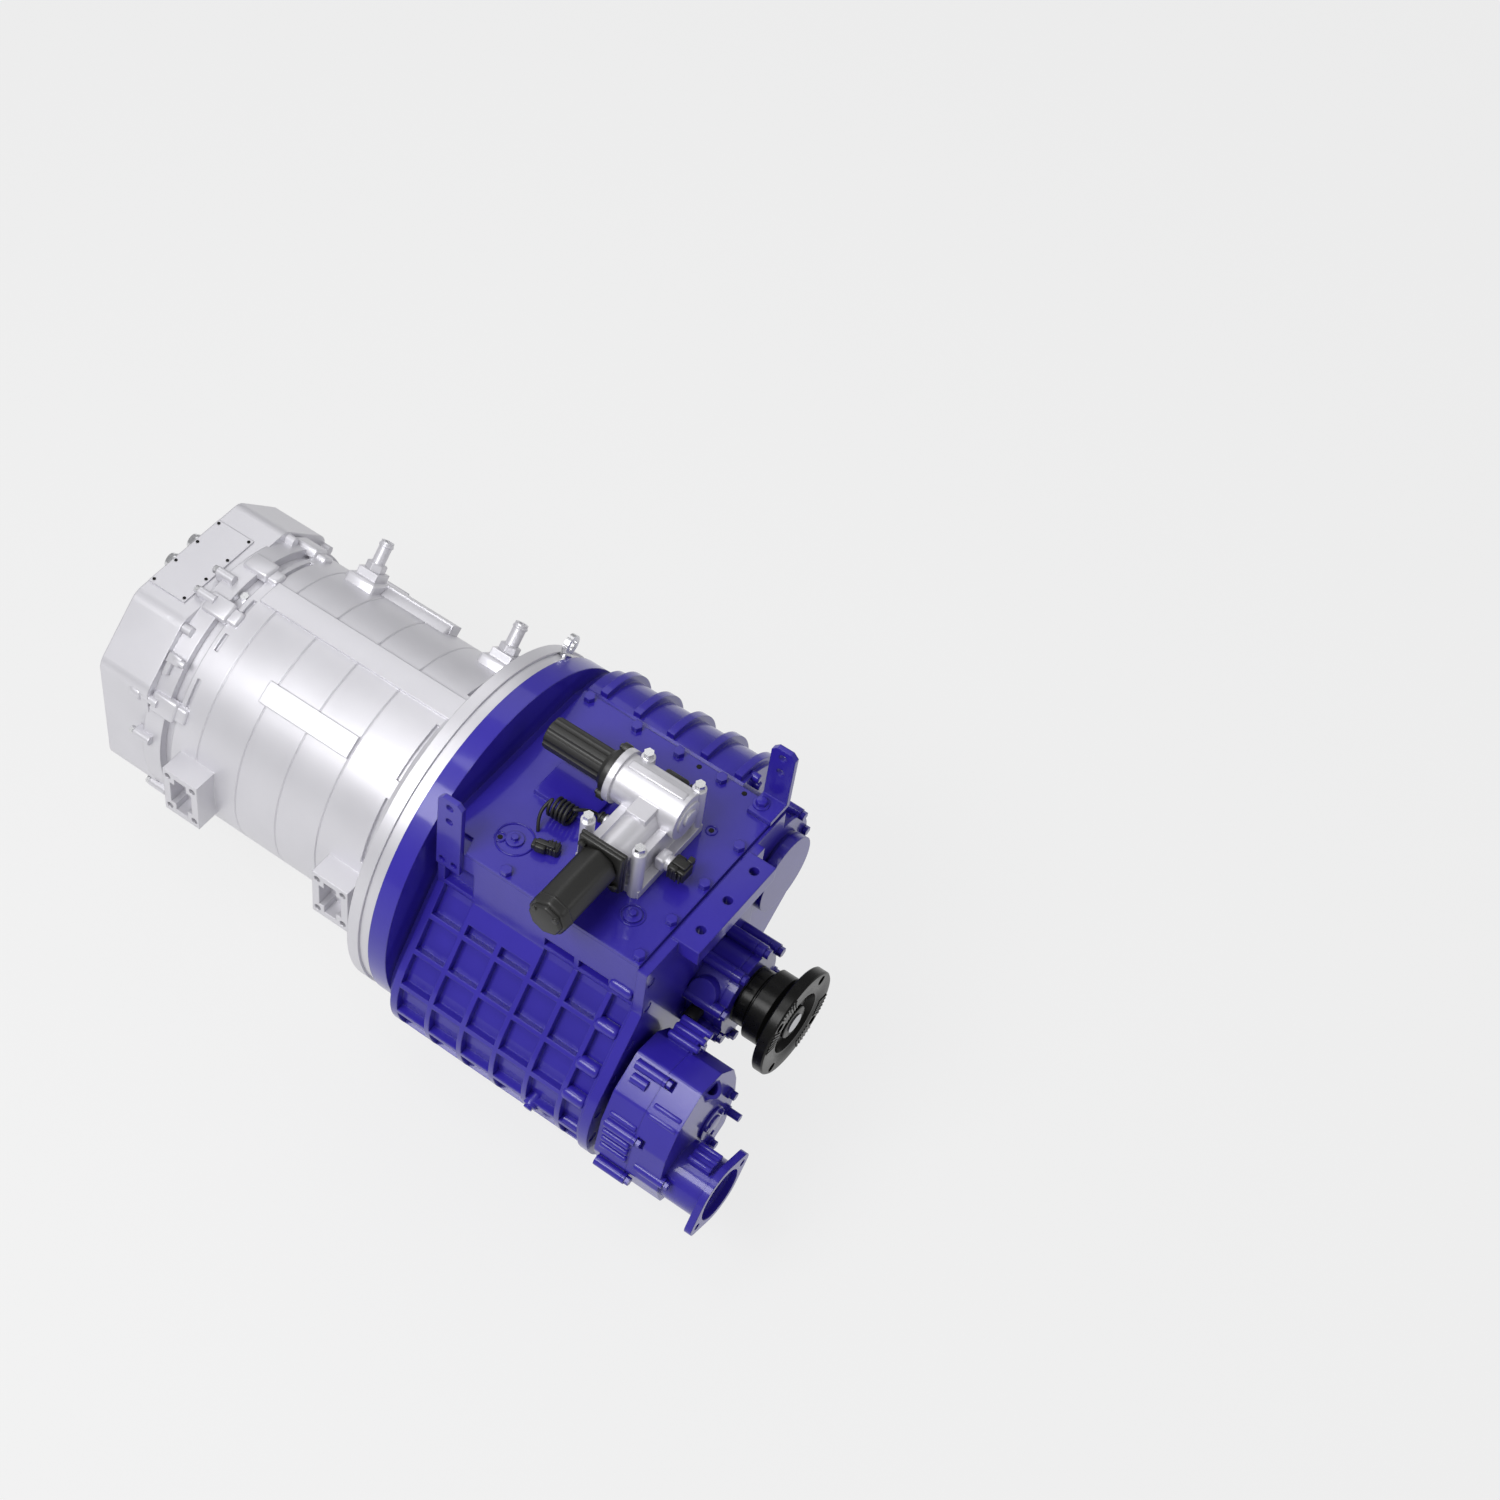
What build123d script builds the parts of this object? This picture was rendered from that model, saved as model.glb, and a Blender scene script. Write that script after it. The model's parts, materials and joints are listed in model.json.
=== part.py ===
from build123d import *
from math import acos, asin, atan2, cos, degrees, hypot, pi, radians, sin
import os

# Electric drive unit: motor, twin-countershaft gearbox, shift actuator and power take-off.
# Millimetres. X runs along the shafts towards the output flange, Z is up.
# Parts are drawn with X = 0 at the joint between motor and gearbox, and moved at the end
# so that the origin is the centre of the output flange's face.

# Motor
MOTOR_R = 205.0
MOTOR_WALL = 27.0
MOTOR_LENGTH = 387.0
FLANGE_R = 275.0
FLANGE_THICK = 19.0
FLARE_LENGTH = 34.0
SHIELD_R = 271.5
SHIELD_THICK = 19.0
REAR_SHIELD_R = 197.0
REAR_SHIELD_THICK = 16.0
GROOVE_FIRST = 47.0
GROOVE_PITCH = 74.5
GROOVE_COUNT = 4
GROOVE_HALF = 1.5
GROOVE_DEPTH = 2.2
SLOT_WIDTH = 6.0
SLOT_DEPTH = 6.0
SLOT_FROM_END = 8.0
SLOTS_REAR = ((-17, -6), (-32, -24), (-58, -45), (12, 30))
SLOTS_FRONT = ((-36, -9), (-74, -44), (10, 33))
NOZZLE_ANGLE = 42.0
NOZZLE_FROM_END = (85.0, 328.0)
NOZZLE_SEAT_R = 230.0
NOZZLE_TIP_R = 276.0
NOZZLE_R = 10.0
NOZZLE_WALL = 2.5
MOUNT_FACE_Y = 240.0
MOUNT_WIDTH = 64.0
MOUNT_HEIGHT = 92.0
MOUNT_FROM_END = (50.0, 327.0)
MOUNT_Z = (-3.0, -10.0)
MOUNT_SPACING_X = 46.0
MOUNT_SPACING_Z = 68.0
MOUNT_HOLE_R = 5.5
MOUNT_HOLE_DEPTH = 24.0
MOUNT_RECESS_DEPTH = 26.0

# Motor end cover
END_LENGTH = 119.0
END_WALL = 8.0
END_HALF_WIDTH = 196.0
END_TOP = 197.0
END_BOTTOM = 203.0
END_TOP_FLAT = 112.0
END_BOTTOM_FLAT = 128.0
END_SIDE_TOP = 118.0
END_SIDE_BOTTOM = 82.0
END_CORNER_R = 28.0
RIM_R = 210.0
RIM_LENGTH = 29.0
LUG_R = 7.0
LUG_LENGTH = 30.0
LUG_CIRCLE_R = 215.0
LUG_SET_BACK = 14.0
LUG_ANGLES = (-80.0, -62.0, -31.0, -16.0, -5.0, 32.0, 62.0, 118.0, 152.0, -118.0, -152.0)
TERMINAL_LENGTH = 67.0
TERMINAL_Y = (-85.0, 66.0)
TERMINAL_THICK = 2.5
TERMINAL_FROM_BACK = 1.0
TERMINAL_OPENING_MARGIN = 12.0
GLAND_R = 14.0
GLAND_PLACES = ((-25.0, 180.0), (23.0, 180.0), (-1.0, 143.0))
GLAND_LENGTH = 14.0
TOP_BOLT_ANGLES = (10.2, -6.6)
TOP_BOLT_R = 4.0
BAND_ANGLES = ((-5.3, 6.3), (-39.4, -30.0), (45.0, 53.0))
BAND_FROM_END = ((18.0, 373.0), (110.0, 269.0), (109.0, 230.0))
BAND_HEIGHT = (5.0, 5.0, 14.0)

# Motor inside
STATOR_LENGTH = 250.0
STATOR_FROM_END = 65.0
STATOR_BORE_R = 114.0
WINDING_LENGTH = 34.0
WINDING_R = (122.0, 168.0)
AIR_GAP = 1.2
ROTOR_SHAFT_R = 36.0
MOTOR_BEARING_R = 58.0
MOTOR_BEARING_WIDTH = 26.0
MOTOR_JOURNAL_R = 30.0
MOTOR_SPLINE_R = 24.0
MOTOR_SPLINE_END = 42.0
RESOLVER_R = (44.0, 62.0)
RESOLVER_WIDTH = 20.0

# Gearbox case
BELL_R = 276.0
BELL_THICK = 31.0
BELL_POCKET_R = 236.0
BELL_POCKET_DEPTH = 17.0
NECK = 11.0
CASE_LENGTH = 330.0
CASE_TOP = 194.0
CASE_SUMP = 209.0
CASE_LEFT = 178.0
CASE_KNEE = 100.0
SUMP_RIGHT = 40.0
LEFT_CREST_R = 126.0
RIGHT_SKIN_R = 114.0
RIGHT_LOW_ANGLE = -20.0
WALL = 8.0
RIB_DEPTH = 13.0
RIB_HALF = 4.0
RIB_FIRST_X = 8.0
RIB_PITCH_X = 56.6
RIB_ROW_FIRST = 87.0
RIB_ROW_PITCH = 58.5
RIB_ROWS = 6
PATCH_COLUMNS = (1, 2)
PATCH_END = 125.0
SHORT_COLUMNS = (3, 4, 5)
SHORT_START = 66.0
BULGE_RIB_R = 124.0
BULGE_RIB_WIDTH = 12.0
BULGE_RIB_FIRST = 20.0
BULGE_RIB_PITCH = 56.6
BULGE_RIB_COUNT = 5
BULGE_END = 264.0
REAR_RIGHT_R = 70.0
REAR_LOW_POINT = (202.0, -48.0)
FRONT_WALL = 14.0
REAR_PLATE = 16.0
RIM_STEP = 4.0

# Gear train: shaft centres and tooth counts
SHAFT_Y = 152.0
SHAFT_Z = 83.0
INPUT_TEETH = 19
DRIVEN_TEETH = 24
LOW_PINION_TEETH = 14
LOW_TEETH = 29
HIGH_PINION_TEETH = 21
HIGH_TEETH = 22
ADDENDUM = 0.72
DEDENDUM = 1.10
PRESSURE_ANGLE = 20.0
BACKLASH = 1.7
DRIVE_GEAR_X = 76.0
DRIVE_GEAR_WIDTH = 28.0
HIGH_GEAR_X = 140.0
HIGH_GEAR_WIDTH = 22.0
LOW_GEAR_WIDTH = 32.0
DOG_R = 50.0
DOG_WIDTH = 8.0
DOG_GAP = 2.0
HUB_WIDTH = 32.0
HUB_R = 51.0
SLEEVE_R = 66.0
SLEEVE_WIDTH = 30.0
SLEEVE_GROOVE_DEPTH = 7.0
SLEEVE_GROOVE_WIDTH = 12.0
SHIFT_TRAVEL = 26.0
RUN = 0.3
FIT = 0.1

# Shafts
INPUT_SHAFT_R = 34.0
PILOT_R = 17.7
PILOT_LENGTH = 18.0
MAIN_SHAFT_R = 34.0
COLLAR_R = 43.0
COLLAR_WIDTH = 9.0
OUTPUT_JOURNAL_R = 31.0
OUTPUT_SPLINE_R = 26.0
OUTPUT_THREAD_R = 15.0
COUNTER_R = 30.0
COUNTER_JOURNAL_R = 24.0
COUNTER_BEARING_R = 42.0
COUNTER_BEARING_WIDTH = 16.0
INPUT_BEARING_R = 56.0
INPUT_BEARING_WIDTH = 24.0
OUTPUT_BEARING_R = 58.0
OUTPUT_BEARING_WIDTH = 26.0

# Shift rail and fork
RAIL_Y = -20.0
RAIL_Z = 152.0
RAIL_R = 10.0
RAIL_BOSS_R = 19.0
RAIL_BOSS_LENGTH = 34.0
RAIL_BORE_DEPTH = 8.0
FORK_THICK = 11.0
FORK_R = 84.0
FORK_SPREAD = 78.0
FORK_BOSS_R = 19.0
FORK_BOSS_LENGTH = 30.0
HORN_GAP = 14.0
HORN_THICK = 8.0
HORN_WIDTH = 34.0
HORN_TOP = 184.0
FINGER_WIDTH = 10.0
FINGER_THICK = 13.4
SELECT_TRAVEL = 10.0

# Top cover
COVER_THICK = 6.0
COVER_RIGHT = 148.0
COVER_LEFT = 178.0
COVER_NOTCH_X = 88.0
COVER_NOTCH_Y = 152.0
COVER_OPENING = (76.0, 64.0)
CASE_OPENING_MARGIN = 20.0
COVER_RAISED = 8.0
COVER_RAISED_X = (96.0, 186.0)
COVER_RAISED_Y = (-41.0, 23.0)
COVER_BOLT_AF = 15.0
COVER_BOLT_HEAD = 8.0
COVER_BOLT_R = 4.5
COVER_BOLT_DEPTH = 12.0
COVER_RIGHT_BOLTS_X = (56.0, 137.0, 208.0, 279.0)
COVER_REAR_BOLTS_Y = (-166.0, -95.0, -20.0, 60.0)
COVER_LEFT_BOLT_X = 148.0
COVER_BOLT_EDGE = 9.0
COVER_PLUG_R = 13.0
COVER_PLUGS = ((124.0, -119.0), (318.0, -119.0))

# Beam with three holes, cast on the rear cover
BEAM_DEPTH = 32.0
BEAM_Y = (-112.0, 66.0)
BEAM_TOP = 197.0
BEAM_HEIGHT = 26.0
BEAM_HOLE_R = 7.0
BEAM_HOLE_Y = (-79.0, -18.0, 43.0)
BEAM_HOLE_DEPTH = 26.0
BEAM_HOLE_FROM_FACE = 12.0

# Lifting brackets
BRACKET_THICK = 8.0
BRACKET_HOLE_R = 6.0
BRACKET_HOLE_SPACING = 29.0
LEFT_BRACKET_X = (44.0, 84.0)
LEFT_BRACKET_Z = (206.0, 301.0)
RIGHT_BRACKET_X = (337.0, 375.0)
RIGHT_BRACKET_TOP = 308.0
RIGHT_BRACKET_Y = 150.0

# Shift actuator
ACT_X = 257.0
ACT_BOLT_X = (215.0, 298.0)
ACT_BOLT_Y = (-88.0, 46.0)
ACT_BASE_THICK = 14.0
ACT_TOP = 290.0
ACT_COLUMN_R = 10.0
ACT_BOLT_AF = 13.0
ACT_BOLT_HEAD = 10.0
SCREW_Y = 17.0
SCREW_Z = 262.0
SHIFT_BARREL_R = 35.0
SHIFT_BARREL_X = (190.0, 303.0)
SHIFT_FLANGE_R = 40.0
SHIFT_FLANGE_THICK = 10.0
SELECT_BARREL_R = 24.0
SELECT_BARREL_Z = 255.0
SELECT_BARREL_Y = (-106.0, 5.0)
ACT_BOX_TOP = 254.0
ACT_BOX_X = (219.0, 294.0)
ACT_WALL = 8.0
SHIFT_MOTOR_R = 24.0
SHIFT_MOTOR_LENGTH = 100.0
SELECT_MOTOR_R = 31.0
SELECT_MOTOR_Z = 262.0
SELECT_MOTOR_LENGTH = 118.0
MOTOR_FLANGE_THICK = 12.0
NUT_R = 20.0
NUT_LENGTH = 24.0
SELECT_ROD_R = 8.0
SELECT_ROD_Z = 234.0
SELECT_ROD_Y0 = -70.0
FINGER_HUB_R = 12.5
FINGER_HUB_LENGTH = 22.0

# Coiled lead
LEAD_R = 2.8
COIL_R = 16.5
COIL_X = (131.0, 176.0)
COIL_Y = -57.8

# Output end
OUT_HOUSING_LENGTH = 46.0
OUT_HOUSING_R = 65.0
OUT_CAP_THICK = 14.0
OUT_BOLT_CIRCLE = 73.0
OUT_BOLT_COUNT = 8
OUT_LOBE_R = 9.5
HUB_PROUD = 62.0
OUT_FLANGE_THICK = 17.0
OUT_FLANGE_R = 82.5
OUT_HUB_R = 56.0
SEAL_R = 44.0
OUT_NECK_R = 46.0
OUT_RECESS_R = 38.0
OUT_RECESS_DEPTH = 15.0
OUT_HOLE_CIRCLE_R = 70.0
OUT_HOLE_R = 7.5
OUT_NUT_AF = 46.0
OUT_BOSS_R = 21.0
OUT_BOSS_TOP_R = 80.0
OUT_BOSS_ANGLE = -56.6

# Right countershaft cap
CAP_R = 60.0
CAP_NECK_R = 49.0
CAP_Y = 147.0
CAP_Z = 76.0
CAP_DISC_X = (382.0, 397.0)
REAR_THIN = 5.0

# Power take-off
PTO_Y = -224.0
PTO_Z = -112.0
PTO_TEETH = 14
PTO_NECK_R = 60.0
PTO_NECK = 10.0
PTO_HOUSING_LENGTH = 53.0
PTO_COVER_LENGTH = 53.0
PTO_WALL = 8.0
PTO_GEAR_WIDTH = 24.0
PTO_SHAFT_R = 17.0
PTO_BEARING_R = 30.0
PTO_BEARING_WIDTH = 12.0
PUMP_BARREL_R = 45.0
PUMP_FLANGE_R = 50.0
PUMP_LENGTH = 67.0
PUMP_FLANGE_THICK = 11.0
PUMP_PILOT_R = 41.3
PUMP_PILOT_DEPTH = 12.0
PUMP_HOLE_SPACING = 106.4
PUMP_HOLE_R = 5.5
PUMP_EAR_R = 15.0
PUMP_EAR_ANGLE = 20.0
PTO_OUTLINE = ((-150.0, 36.0), (-196.0, 44.0), (-245.0, 6.0), (-268.0, -40.0), (-277.0, -106.0),
               (-264.0, -150.0), (-226.0, -173.0), (-168.0, -172.0), (-112.0, -140.0),
               (-98.0, -78.0), (-104.0, -32.0), (-116.0, 5.0))
PTO_CAVITY_R = 44.5
PTO_LUG_R = 8.0
PTO_SIDE_LUGS = ((-281.0, -120.0), (-267.0, -38.0), (-207.0, 35.0))
PTO_END_LUGS = ((-120.0, -48.0), (-152.0, -136.0), (-271.0, -87.0), (-226.0, -176.0))
PTO_SIDE_RIB = (-221.0, 22.0)
PTO_TOP_PAD_Y = (-150.0, -114.0)
PTO_TOP_PAD_Z = 48.0
PORT_PLACE = (496.0, -172.0, 20.0)
PORT_AXIS = (0.55, 0.12, 0.83)
PORT_R = 12.0
STUD_PLACE = (-117.0, -97.0)
PUMP_PAD_Y = (-234.0, -203.0)
PUMP_PAD_Z = -56.0
PUMP_PAD_FROM_END = (17.0, 51.0)

# Bolts of the rear cover
REAR_BOLT_R = 4.0
REAR_BOLT_AF = 12.0
REAR_BOLT_SUNK = 8.0
REAR_BOLT_SINK_R = 8.0
REAR_BOLT_DEPTH = 22.0
REAR_BOSS_R = 8.5
REAR_BOSS_LENGTH = 30.0
REAR_BOSS_INSET = 9.5
REAR_SUMP_BOLTS_Y = (-90.0, -20.0, 30.0)
REAR_LOBE_BOLTS = ((67.0, -40.0), (67.0, 6.0), (76.0, 50.0))

# Stations along X worked out from the lengths
X_SHIELD = -SHIELD_THICK
X_FLANGE = X_SHIELD - FLANGE_THICK
X_BODY = X_FLANGE - MOTOR_LENGTH
X_RIM = X_BODY - REAR_SHIELD_THICK
X_BACK = X_RIM - END_LENGTH
X_CASE = BELL_THICK + NECK
X_REAR = X_CASE + CASE_LENGTH
X_PLATE = X_REAR + REAR_PLATE
X_OUT = X_PLATE + OUT_HOUSING_LENGTH
X_CAP = X_OUT + OUT_CAP_THICK
X_FACE = X_CAP + HUB_PROUD + OUT_FLANGE_THICK
COVER_TOP = CASE_TOP + COVER_THICK
X_PTO = X_PLATE + PTO_NECK
X_SPLIT = X_PTO + PTO_HOUSING_LENGTH
X_PTO_END = X_SPLIT + PTO_COVER_LENGTH
X_PUMP = X_PTO_END + PUMP_LENGTH
GEAR_GAP = SHIFT_TRAVEL + SLEEVE_WIDTH + 2 * DOG_GAP
LOW_GEAR_X = HIGH_GEAR_X + HIGH_GEAR_WIDTH + GEAR_GAP
HUB_X = HIGH_GEAR_X + HIGH_GEAR_WIDTH + (GEAR_GAP - HUB_WIDTH) / 2
SLEEVE_X = LOW_GEAR_X - DOG_GAP - SLEEVE_WIDTH
SHAFT_DISTANCE = hypot(SHAFT_Y, SHAFT_Z)
SHAFT_ANGLE = degrees(atan2(SHAFT_Z, SHAFT_Y))
STATOR_X = X_BODY + STATOR_FROM_END
FINGER_X = ACT_X + SHIFT_TRAVEL / 2


def yz(x, y=0.0, z=0.0):
    """Plane across the shafts, its own X along Y and its own Y along Z."""
    return Plane(origin=(x, y, z), x_dir=(0, 1, 0), z_dir=(1, 0, 0))


def rod(x0, x1, r, y=0.0, z=0.0):
    return extrude(yz(x0, y, z) * Circle(r), x1 - x0)


def ring(x0, x1, r_out, r_in, y=0.0, z=0.0):
    return rod(x0, x1, r_out, y, z) - rod(x0 - 1, x1 + 1, r_in, y, z)


def block(x0, x1, y0, y1, z0, z1):
    return Pos((x0 + x1) / 2, (y0 + y1) / 2, (z0 + z1) / 2) * Box(x1 - x0, y1 - y0, z1 - z0)


def turned(profile, y=0.0, z=0.0):
    """Solid turned about the X axis from (x, radius) points."""
    face = make_face(Polyline(*[(x, r) for x, r in profile], close=True))
    return Pos(0, y, z) * revolve(face, Axis.X, 360)


def prism(points, x0, x1, corner_r=0.0):
    """Outline of (y, z) points extruded along X."""
    face = make_face(Polyline(*points, close=True))
    if corner_r:
        face = fillet(face.vertices(), corner_r)
    return extrude(yz(x0) * face, x1 - x0)


def peg(at, direction, r, length):
    """Round pin that starts at a point and runs along a direction."""
    return extrude(Plane(origin=at, z_dir=direction) * Circle(r), length)


def hexagon(at, direction, across_flats, length):
    plane = Plane(origin=at, z_dir=direction)
    return extrude(plane * RegularPolygon(across_flats / 2, 6, major_radius=False), length)


def bolt(at, direction, across_flats, head, r, depth):
    """Hexagon bolt seated at a point, its head outwards along the direction."""
    inward = tuple(-c for c in direction)
    return hexagon(at, direction, across_flats, head) + peg(at, inward, r, depth)


def hole(at, direction, r, depth):
    """Cutter for a hole that goes in against the direction."""
    start = tuple(p + c for p, c in zip(at, direction))
    inward = tuple(-c for c in direction)
    return peg(start, inward, r, depth + 1)


def radial_pad(x, angle, r0, r1, length, width):
    """Block that stands on a round body; the angle runs from +Z towards +Y."""
    out = (0, sin(radians(angle)), cos(radians(angle)))
    plane = Plane(origin=(x, r0 * out[1], r0 * out[2]), x_dir=(1, 0, 0), z_dir=out)
    return extrude(plane * Rectangle(length, width), r1 - r0)


def on_circle(r, angle):
    """Point at a radius; the angle runs from +Z towards +Y."""
    return (r * sin(radians(angle)), r * cos(radians(angle)))


def sector(x0, x1, r0, r1, a0, a1, y=0.0, z=0.0):
    """Part of a ring between two angles, which run from +Z towards +Y."""
    mid = (a0 + a1) / 2
    outer = ThreePointArc(on_circle(r1, a0), on_circle(r1, mid), on_circle(r1, a1))
    inner = ThreePointArc(on_circle(r0, a1), on_circle(r0, mid), on_circle(r0, a0))
    side_a = Line(on_circle(r1, a1), on_circle(r0, a1))
    side_b = Line(on_circle(r0, a0), on_circle(r1, a0))
    face = make_face([outer, side_a, inner, side_b])
    return extrude(yz(x0, y, z) * face, x1 - x0)


def group(solids):
    """Several separate solids in one node."""
    return Compound([s.solid() if isinstance(s, Part) and len(s.solids()) == 1 else s for s in solids])


# Gears

def gear_module(teeth_a, teeth_b, distance):
    return 2 * distance / (teeth_a + teeth_b)


def mate_phase(phase, teeth, mate_teeth, line_angle):
    """Phase of a gear whose gap faces a tooth of its mate along the line of centres."""
    share = (line_angle - phase) * teeth / 360.0
    return line_angle + 180.0 - (0.5 - share) * 360.0 / mate_teeth


def gear_blank(x, width, teeth, module, phase, y=0.0, z=0.0):
    """Toothed wheel with straight-flanked teeth; a tooth points along the phase angle."""
    pitch_r = module * teeth / 2
    half = pi * module / 4 - BACKLASH / 2
    slope = sin(radians(PRESSURE_ANGLE)) / cos(radians(PRESSURE_ANGLE))
    tip_r = pitch_r + ADDENDUM * module
    root_r = pitch_r - DEDENDUM * module
    tip_half = (half - ADDENDUM * module * slope) / tip_r
    root_half = min((half + DEDENDUM * module * slope) / root_r, 0.47 * 2 * pi / teeth)
    points = []
    for i in range(teeth):
        centre = radians(phase) + 2 * pi * i / teeth
        for r, offset in ((root_r, -root_half), (tip_r, -tip_half), (tip_r, tip_half), (root_r, root_half)):
            points.append((r * cos(centre + offset), r * sin(centre + offset)))
    return extrude(yz(x, y, z) * make_face(Polyline(*points, close=True)), width)


INPUT_MODULE = gear_module(INPUT_TEETH, DRIVEN_TEETH, SHAFT_DISTANCE)
LOW_MODULE = gear_module(LOW_TEETH, LOW_PINION_TEETH, SHAFT_DISTANCE)
HIGH_MODULE = gear_module(HIGH_TEETH, HIGH_PINION_TEETH, SHAFT_DISTANCE)
PTO_DISTANCE = hypot(PTO_Y + SHAFT_Y, PTO_Z + SHAFT_Z)
PTO_MODULE = gear_module(PTO_TEETH, PTO_TEETH, PTO_DISTANCE)
SIDES = {"right": 1, "left": -1}


# Motor

def motor_housing():
    bore = MOTOR_R - MOTOR_WALL
    profile = [(X_BODY, bore), (X_BODY, MOTOR_R)]
    for i in range(GROOVE_COUNT):
        x = X_BODY + GROOVE_FIRST + i * GROOVE_PITCH
        profile += [(x - GROOVE_HALF, MOTOR_R), (x, MOTOR_R - GROOVE_DEPTH), (x + GROOVE_HALF, MOTOR_R)]
    profile += [(X_FLANGE - FLARE_LENGTH, MOTOR_R), (X_FLANGE - FLARE_LENGTH / 2, MOTOR_R + 10),
                (X_FLANGE, FLANGE_R - 18), (X_FLANGE, FLANGE_R), (X_SHIELD, FLANGE_R), (X_SHIELD, bore)]
    body = turned(profile)
    for (a0, a1), (x0, x1), high in zip(BAND_ANGLES, BAND_FROM_END, BAND_HEIGHT):
        body += sector(X_BODY + x0, X_BODY + x1, MOTOR_R - 4, MOTOR_R + high, a0, a1)
    for x in motor_stations(NOZZLE_FROM_END):
        body += radial_pad(x, NOZZLE_ANGLE, MOTOR_R - 6, NOZZLE_SEAT_R, 34, 36)
    slots = []
    x = X_BODY + SLOT_FROM_END
    for a0, a1 in SLOTS_REAR:
        slots.append(sector(x, x + SLOT_WIDTH, MOTOR_R - SLOT_DEPTH, MOTOR_R + 12, a0, a1))
    x = X_FLANGE - FLARE_LENGTH - SLOT_WIDTH
    for a0, a1 in SLOTS_FRONT:
        slots.append(sector(x, x + SLOT_WIDTH, MOTOR_R - SLOT_DEPTH, MOTOR_R + 12, a0, a1))
    body -= slots
    for side in (-1, 1):
        for x, z in zip(motor_stations(MOUNT_FROM_END), MOUNT_Z):
            body += mount_block(x, z, side)
    body -= rod(X_BODY - 1, X_SHIELD + 1, bore)
    cuts = []
    for side in (-1, 1):
        for x, z in zip(motor_stations(MOUNT_FROM_END), MOUNT_Z):
            cuts += mount_cuts(x, z, side)
    for x in motor_stations(NOZZLE_FROM_END):
        y, z = on_circle(NOZZLE_SEAT_R, NOZZLE_ANGLE)
        out = (0, *on_circle(1, NOZZLE_ANGLE))
        cuts.append(hole((x, y, z), out, NOZZLE_R - NOZZLE_WALL + FIT, 20))
    return body - cuts


EYE_ANGLE = 38.0
EYE_X = X_SHIELD + SHIELD_THICK / 2
EYE_SHANK = 16.0
EYE_SHANK_R = 6.0
EYE_COLLAR_R = 9.0


def motor_stations(offsets):
    return [X_BODY + d for d in offsets]


def mount_block(x, z, side):
    inner = MOTOR_R - MOTOR_WALL + 4
    y0, y1 = sorted((side * inner * 0.86, side * MOUNT_FACE_Y))
    return block(x - MOUNT_WIDTH / 2, x + MOUNT_WIDTH / 2, y0, y1, z - MOUNT_HEIGHT / 2, z + MOUNT_HEIGHT / 2)


def mount_cuts(x, z, side):
    """Four tapped holes and the recess between them."""
    face = side * MOUNT_FACE_Y
    out = (0, side, 0)
    cuts = []
    for dx in (-1, 1):
        for dz in (-1, 1):
            at = (x + dx * MOUNT_SPACING_X / 2, face, z + dz * MOUNT_SPACING_Z / 2)
            cuts.append(hole(at, out, MOUNT_HOLE_R, MOUNT_HOLE_DEPTH))
    deep = sorted((face - side * MOUNT_RECESS_DEPTH, face + side))
    cuts.append(block(x - 20, x + 20, *deep, z - 22, z + 22))
    cuts.append(block(x - 11, x + 11, *deep, z - 35, z + 35))
    return cuts


def front_end_shield():
    hub_r = MOTOR_BEARING_R + 12
    x_bearing = X_SHIELD - MOTOR_BEARING_WIDTH
    profile = [(x_bearing, MOTOR_BEARING_R + FIT), (x_bearing, hub_r), (X_SHIELD - 6, hub_r + 8),
               (X_SHIELD - 6, MOTOR_R - MOTOR_WALL - FIT), (X_SHIELD, MOTOR_R - MOTOR_WALL - FIT),
               (X_SHIELD, SHIELD_R), (0, SHIELD_R), (0, MOTOR_JOURNAL_R + 8),
               (X_SHIELD, MOTOR_JOURNAL_R + 8), (X_SHIELD, MOTOR_BEARING_R + FIT)]
    seat = (EYE_X, *on_circle(SHIELD_R, EYE_ANGLE))
    return turned(profile) - hole(seat, (0, *on_circle(1, EYE_ANGLE)), EYE_SHANK_R + FIT, EYE_SHANK + 2)


def rear_end_shield():
    profile = [(X_RIM, MOTOR_BEARING_R + FIT), (X_RIM, REAR_SHIELD_R), (X_BODY, REAR_SHIELD_R),
               (X_BODY, MOTOR_R - MOTOR_WALL - FIT), (X_BODY + 8, MOTOR_R - MOTOR_WALL - FIT),
               (X_BODY + 8, MOTOR_BEARING_R + 10), (X_RIM + MOTOR_BEARING_WIDTH, MOTOR_BEARING_R + 10),
               (X_RIM + MOTOR_BEARING_WIDTH, MOTOR_BEARING_R + FIT)]
    shield = turned(profile)
    for at, out in top_bolts():
        shield -= hole(at, out, TOP_BOLT_R + FIT, 13)
    return shield


def top_bolts():
    """Radial bolts on the rim of the rear shield: seat and direction."""
    x = X_RIM + REAR_SHIELD_THICK / 2
    return [((x, *on_circle(REAR_SHIELD_R, a)), (0, *on_circle(1, a))) for a in TOP_BOLT_ANGLES]


def end_outline(inset):
    """Octagon of the end cover, drawn in by the wall for its inside."""
    w = END_HALF_WIDTH - inset
    t = END_TOP - inset
    b = END_BOTTOM - inset
    top_flat = END_TOP_FLAT - inset * 0.4
    low_flat = END_BOTTOM_FLAT - inset * 0.4
    high = END_SIDE_TOP - inset * 0.4
    low = END_SIDE_BOTTOM - inset * 0.4
    return [(-top_flat, t), (-w, high), (-w, -low), (-low_flat, -b),
            (low_flat, -b), (w, -low), (w, high), (top_flat, t)]


def lug_places():
    return [on_circle(LUG_CIRCLE_R, a) for a in LUG_ANGLES]


def terminal_box():
    x0 = X_BACK + TERMINAL_FROM_BACK
    return x0, x0 + TERMINAL_LENGTH, *TERMINAL_Y


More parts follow.
